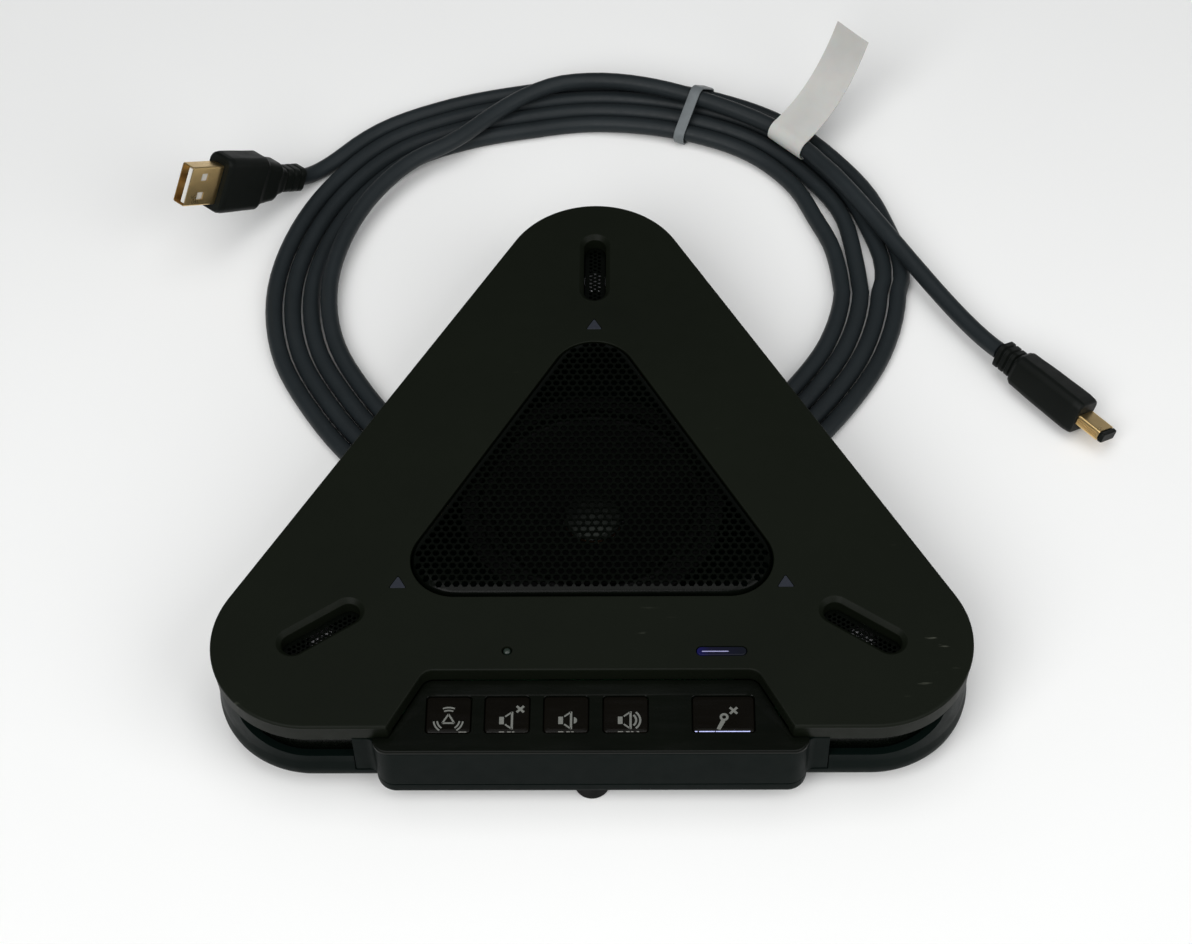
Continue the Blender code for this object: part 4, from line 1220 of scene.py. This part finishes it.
def lead_points(step_deg):
    total = 4.0 + (JOIN_DEG - LEAVE_DEG) / 360.0
    count = int(round(total * 360.0 / step_deg))
    coil = [coil_point(total * i / count) for i in range(count + 1)]
    back = (Vector(coil[0]) - Vector(coil[1])).normalized()
    pull = Vector(coil[0]) + back * 6.0
    nose = Vector(USB_A_ROOT) - plug_frame(USB_A_TURN)[0] * 6.0
    start = [USB_A_ROOT] + bezier(USB_A_ROOT, tuple(nose), tuple(pull), coil[0], 14)[:-1]
    ahead = (Vector(coil[-1]) - Vector(coil[-2])).normalized()
    mid = Vector(coil[-1]) + ahead * 20.0 + Vector((0.0, 0.0, 2.0))
    lean = Vector(MINI_ROOT) - plug_frame(MINI_TURN)[0] * 20.0 - Vector((0.0, 0.0, 2.5))
    return start + coil + bezier(coil[-1], tuple(mid), tuple(lean), MINI_ROOT, 28)


def sweep(points, radius, sides):
    loops = []
    count = len(points)
    for i in range(count):
        before = Vector(points[max(0, i - 1)])
        after = Vector(points[min(count - 1, i + 1)])
        ahead = (after - before).normalized()
        side = ahead.cross(Vector((0.0, 0.0, 1.0))).normalized()
        up = side.cross(ahead)
        here = Vector(points[i])
        steps = [spoke(360.0 * (k + 0.5) / sides, radius) for k in range(sides)]
        loops.append([tuple(here + side * u + up * v) for u, v in steps])
    return loft_data(loops)


def along(plug, stations, shift=0.0, side=0.0, seg=8):
    """Solid along a plug; a station is distance, half thickness, half width and corner radius."""
    root, turn = plug
    ahead, thick, wide = plug_frame(turn)
    loops = []
    for dist, half_t, half_w, radius in stations:
        centre = Vector(root) + ahead * dist + thick * shift + wide * side
        outline = rounded_rect(0.0, 0.0, half_t, half_w, radius, seg)
        loops.append([tuple(centre + thick * u + wide * v) for u, v in outline])
    return loft_data(loops)


def ribbed(start, end, count, half_t, half_w, radius, depth):
    """Stations of a ribbed sleeve."""
    stations = []
    step = (end - start) / count
    for i in range(count):
        base = start + i * step
        for part, cut in ((0.0, 0.0), (0.55, 0.0), (0.62, 0.6), (0.7, 1.0), (0.85, 1.0), (0.93, 0.6)):
            cut *= depth
            stations.append((base + part * step, half_t - cut, half_w - cut, radius - cut * 0.5))
    return stations


def blend_stations(stations, steps=3):
    """Insert smooth in-between stations."""
    out = []
    for a, b in zip(stations, stations[1:]):
        for i in range(steps):
            t = i / steps
            s = t * t * (3.0 - 2.0 * t)
            out.append(tuple([a[0] + (b[0] - a[0]) * t] + [a[k] + (b[k] - a[k]) * s for k in range(1, 4)]))
    out.append(stations[-1])
    return out


def build_usb_a():
    plug = (USB_A_ROOT, USB_A_TURN)
    stations = [(0.6, 2.5, 2.7, 1.6), (0.8, 2.8, 3.0, 1.7)]
    stations += ribbed(1.2, 9.6, 3, 3.25, 3.7, 1.9, 0.2)
    stations += blend_stations([
        (10.0, 3.4, 4.0, 1.9), (11.6, 3.5, 4.4, 2.0), (13.4, 3.9, 6.0, 2.1), (18.4, 4.0, 6.7, 2.1),
        (19.0, 4.1, 7.0, 2.1), (20.6, 4.5, 8.2, 2.3), (34.2, 4.6, 8.6, 2.4), (35.7, 4.4, 8.4, 2.2),
        (36.6, 3.9, 7.9, 1.8),
    ])
    piece("usb_a_moulding", along(plug, stations), "grip_black", LEAD, ("usb_a_grip",), 50.0)
    shell = raw_object("usb_a_metal", *along(plug, [
        (36.8, 2.25, 6.0, 0.55), (48.85, 2.25, 6.0, 0.55), (49.0, 2.18, 5.93, 0.5),
        (49.0, 1.98, 5.73, 0.35), (48.85, 1.93, 5.68, 0.3), (37.5, 1.93, 5.68, 0.3),
    ], seg=6))
    window = ((42.3, 3.5, 1.15, 0.15), (44.9, 3.5, 1.15, 0.15))
    combine(shell, [along(plug, window, 0.0, side, 2) for side in (-2.85, 2.85)])
    finish_piece(shell, "plug_gold", LEAD, ("usb_a_shell",), 40.0)
    insert = along(plug, ((37.7, 0.8, 5.4, 0.2), (48.3, 0.8, 5.4, 0.2), (48.6, 0.6, 5.2, 0.2)), 0.85, seg=4)
    piece("usb_a_insert", insert, "plug_white", LEAD, ("usb_a_tongue",), 40.0)
    back = along(plug, ((37.6, 0.95, 5.4, 0.2), (38.6, 0.95, 5.4, 0.2)), -0.95, seg=4)
    piece("usb_a_back", back, "grip_black", LEAD, (), 40.0, MAT["frame_black"])
    contact = ((39.5, 0.06, 0.5, 0.04), (47.4, 0.06, 0.5, 0.04))
    contacts = joined([along(plug, contact, 0.0, side, 2) for side in (-3.5, -1.0, 1.0, 3.5)])
    piece("usb_a_contacts", contacts, "plug_gold", LEAD, (), 40.0)


def build_mini():
    plug = (MINI_ROOT, MINI_TURN)
    stations = [(0.6, 2.6, 2.6, 1.7), (0.8, 3.0, 3.0, 1.9)]
    stations += ribbed(1.1, 7.4, 3, 3.5, 3.7, 2.0, 0.55)
    stations += blend_stations([
        (7.6, 4.0, 4.4, 2.2), (8.6, 4.4, 4.8, 2.3), (18.0, 4.6, 5.1, 2.3), (28.6, 4.7, 5.2, 2.2),
        (30.6, 4.5, 5.0, 2.0), (31.3, 4.3, 4.8, 1.9), (31.6, 3.9, 4.4, 1.6),
    ])
    piece("mini_moulding", along(plug, stations), "grip_black", LEAD, ("mini_grip",), 50.0)
    shell = raw_object("mini_metal", *along(plug, [
        (31.7, 3.4, 1.55, 0.6), (39.05, 3.4, 1.55, 0.6), (39.2, 3.33, 1.48, 0.5),
        (39.2, 3.17, 1.32, 0.35), (39.05, 3.12, 1.27, 0.3), (32.5, 3.12, 1.27, 0.3),
    ], seg=6))
    groove = ((32.2, 0.2, 0.12, 0.03), (38.6, 0.2, 0.12, 0.03))
    combine(shell, [
        along(plug, groove, face, side, 1) for side in (-0.62, 0.0, 0.62) for face in (-3.47, 3.47)
    ])
    finish_piece(shell, "plug_gold", LEAD, ("mini_shell",), 40.0)
    tip = along(plug, [
        (32.8, 2.75, 0.9, 0.2), (39.45, 2.75, 0.9, 0.2), (39.5, 3.2, 1.35, 0.45), (39.7, 3.3, 1.45, 0.5),
        (40.5, 3.25, 1.42, 0.5), (40.8, 3.0, 1.2, 0.4),
    ], seg=5)
    piece("mini_insert", tip, "grip_black", LEAD, ("mini_tongue",), 40.0)


def hull_loop(centres, radius, count):
    loop = []
    for i in range(count):
        nu, nz = spoke(360.0 * (i + 0.5) / count)
        best = max(centres, key=lambda c: c[0] * nu + c[1] * nz)
        loop.append((best[0] + radius * nu, best[1] + radius * nz))
    return loop


def ring_axes(deg):
    x, y = spoke(deg)
    return Vector((x, y, 0.0)), Vector((y, -x, 0.0))


def build_tie():
    out, ahead = ring_axes(TIE_DEG)
    base = (JOIN_DEG - TIE_DEG) / 360.0
    centres = []
    for turn in range(5):
        point = Vector(coil_point(base + turn)) - Vector((RING_X, RING_Y, 0.0))
        centres.append((point.dot(out), point.z))
    half = TIE_W / 2.0
    steps = [(-half, 0.57), (-half, 0.87), (-half + 0.18, 1.05), (half - 0.18, 1.05), (half, 0.87)]
    steps += [(half, 0.57), (half - 0.15, 0.45), (-half + 0.15, 0.45)]
    section = []
    for shift, grow in steps:
        outline = hull_loop(centres, CABLE_R + grow, 72)
        section.append([tuple(Vector((RING_X, RING_Y, z)) + out * u + ahead * shift) for u, z in outline])
    piece("tie_strap", loft_data(section, closed=True), "tie_grey", LEAD, ("cable_tie",), 60.0)


def label_path():
    radius = CABLE_R + 0.65 + LABEL_T / 2.0
    wrap = arc(0.0, 0.0, radius, 320.0, 90.0, 30)
    tail = []
    for i in range(1, 31):
        t = i / 30.0
        tail.append((26.3 * t * (1.25 - 0.25 * t), radius + LABEL_RISE * (0.18 * t + 0.82 * t * t)))
    return wrap + tail


def build_label():
    turn = 4.0 + (JOIN_DEG - LABEL_DEG) / 360.0
    step = 4.0 / 360.0
    before = Vector(coil_point(turn - step))
    after = Vector(coil_point(turn + step))
    base = (Vector(coil_point(turn)) * 2.0 + before + after) / 4.0
    ahead = (after - before).normalized()
    out = Vector((0.0, 0.0, 1.0)).cross(ahead).normalized()
    path = label_path()
    cols = 14
    sides = ([], [])
    for i, (u, z) in enumerate(path):
        last = path[max(i - 1, 0)]
        following = path[min(i + 1, len(path) - 1)]
        du = following[0] - last[0]
        dz = following[1] - last[1]
        length = math.hypot(du, dz)
        t = max(0.0, (i - 31) / 29.0)
        for j in range(cols + 1):
            v = (j / cols - 0.5) * LABEL_W
            curl = 0.042 * LABEL_W * t * math.sin(v / LABEL_W * 2.6 + 0.5)
            for verts, face_side in zip(sides, (0.5, -0.5)):
                away = (LABEL_T * face_side + curl) / length
                spot = base + out * (u - dz * away) + ahead * v
                verts.append((spot.x, spot.y, spot.z + z + du * away))
    faces = []
    for i in range(len(path) - 1):
        for j in range(cols):
            a = i * (cols + 1) + j
            faces.append((a, a + 1, a + cols + 2, a + cols + 1))
    piece("label_tag", thick_sheet(*sides, faces), "label_white", LEAD, ("cable_label",), 60.0)


def build_lead():
    cable = sweep(lead_points(3.0), CABLE_R, 20)
    piece("lead_cable", cable, "cable_slate", LEAD, ("usb_cable",), 60.0)
    build_usb_a()
    build_mini()
    build_tie()
    build_label()


# ---------------- stage

def area_light(name, place, size, power):
    """White square lamp turned to the middle of the object."""
    data = bpy.data.lights.new(name, 'AREA')
    data.energy = power
    data.size = size
    obj = bpy.data.objects.new(name, data)
    obj.location = place
    aim = Vector((0.0, 0.07, 0.01)) - Vector(place)
    obj.rotation_euler = aim.to_track_quat('-Z', 'Y').to_euler()
    bpy.context.scene.collection.objects.link(obj)


def build_stage():
    n = Nodes("floor_pale")
    pale = n.mix(n.remap(n.noise(6.0)), (0.91, 0.91, 0.90), (0.93, 0.93, 0.92))
    mesh = bpy.data.meshes.new("floor")
    half = 3.0
    corners = [(-half, -half, 0.0), (half, -half, 0.0), (half, half, 0.0), (-half, half, 0.0)]
    mesh.from_pydata(corners, [], [(0, 1, 2, 3)])
    mesh.materials.append(n.put(Base_Color=pale, Roughness=0.9, Specular_IOR_Level=0.1))
    floor = bpy.data.objects.new("floor", mesh)
    floor.location.z = -0.00002
    bpy.context.scene.collection.objects.link(floor)
    world = bpy.data.worlds.new("studio")
    bpy.context.scene.world = world
    world.use_nodes = True
    sky = world.node_tree.nodes["Background"].inputs
    sky["Color"].default_value = (0.92, 0.96, 1.0, 1.0)
    sky["Strength"].default_value = 0.145
    area_light("key", (-0.45, -0.75, 0.95), 0.9, 11.2)
    area_light("fill", (0.75, -0.45, 0.75), 0.9, 5.3)
    area_light("top", (0.0, 0.05, 1.35), 1.0, 5.9)


def build_camera():
    data = bpy.data.cameras.new("camera")
    data.lens = 78.79
    data.sensor_width = 36.0
    data.sensor_fit = 'HORIZONTAL'
    data.clip_start = 0.01
    data.clip_end = 20.0
    cam = bpy.data.objects.new("camera", data)
    right = Vector((0.999825, 0.007571, -0.017086))
    up = Vector((0.004180, 0.800522, 0.599288))
    ahead = Vector((-0.018215, 0.599255, -0.800351))
    place = Vector((13.25, -330.81, 572.96)) * MM
    rows = [(right[i], up[i], -ahead[i], place[i]) for i in range(3)]
    cam.matrix_world = Matrix(rows + [(0.0, 0.0, 0.0, 1.0)])
    bpy.context.scene.collection.objects.link(cam)
    bpy.context.scene.camera = cam


def main():
    dress_cad()
    build_cover()
    build_marks_and_lamps()
    build_grille()
    build_slot_meshes()
    build_case()
    build_bezel()
    build_panel()
    build_keys()
    build_feet_and_screws()
    build_lead()
    build_stage()
    build_camera()
    bpy.context.scene.view_settings.view_transform = 'Standard'


main()
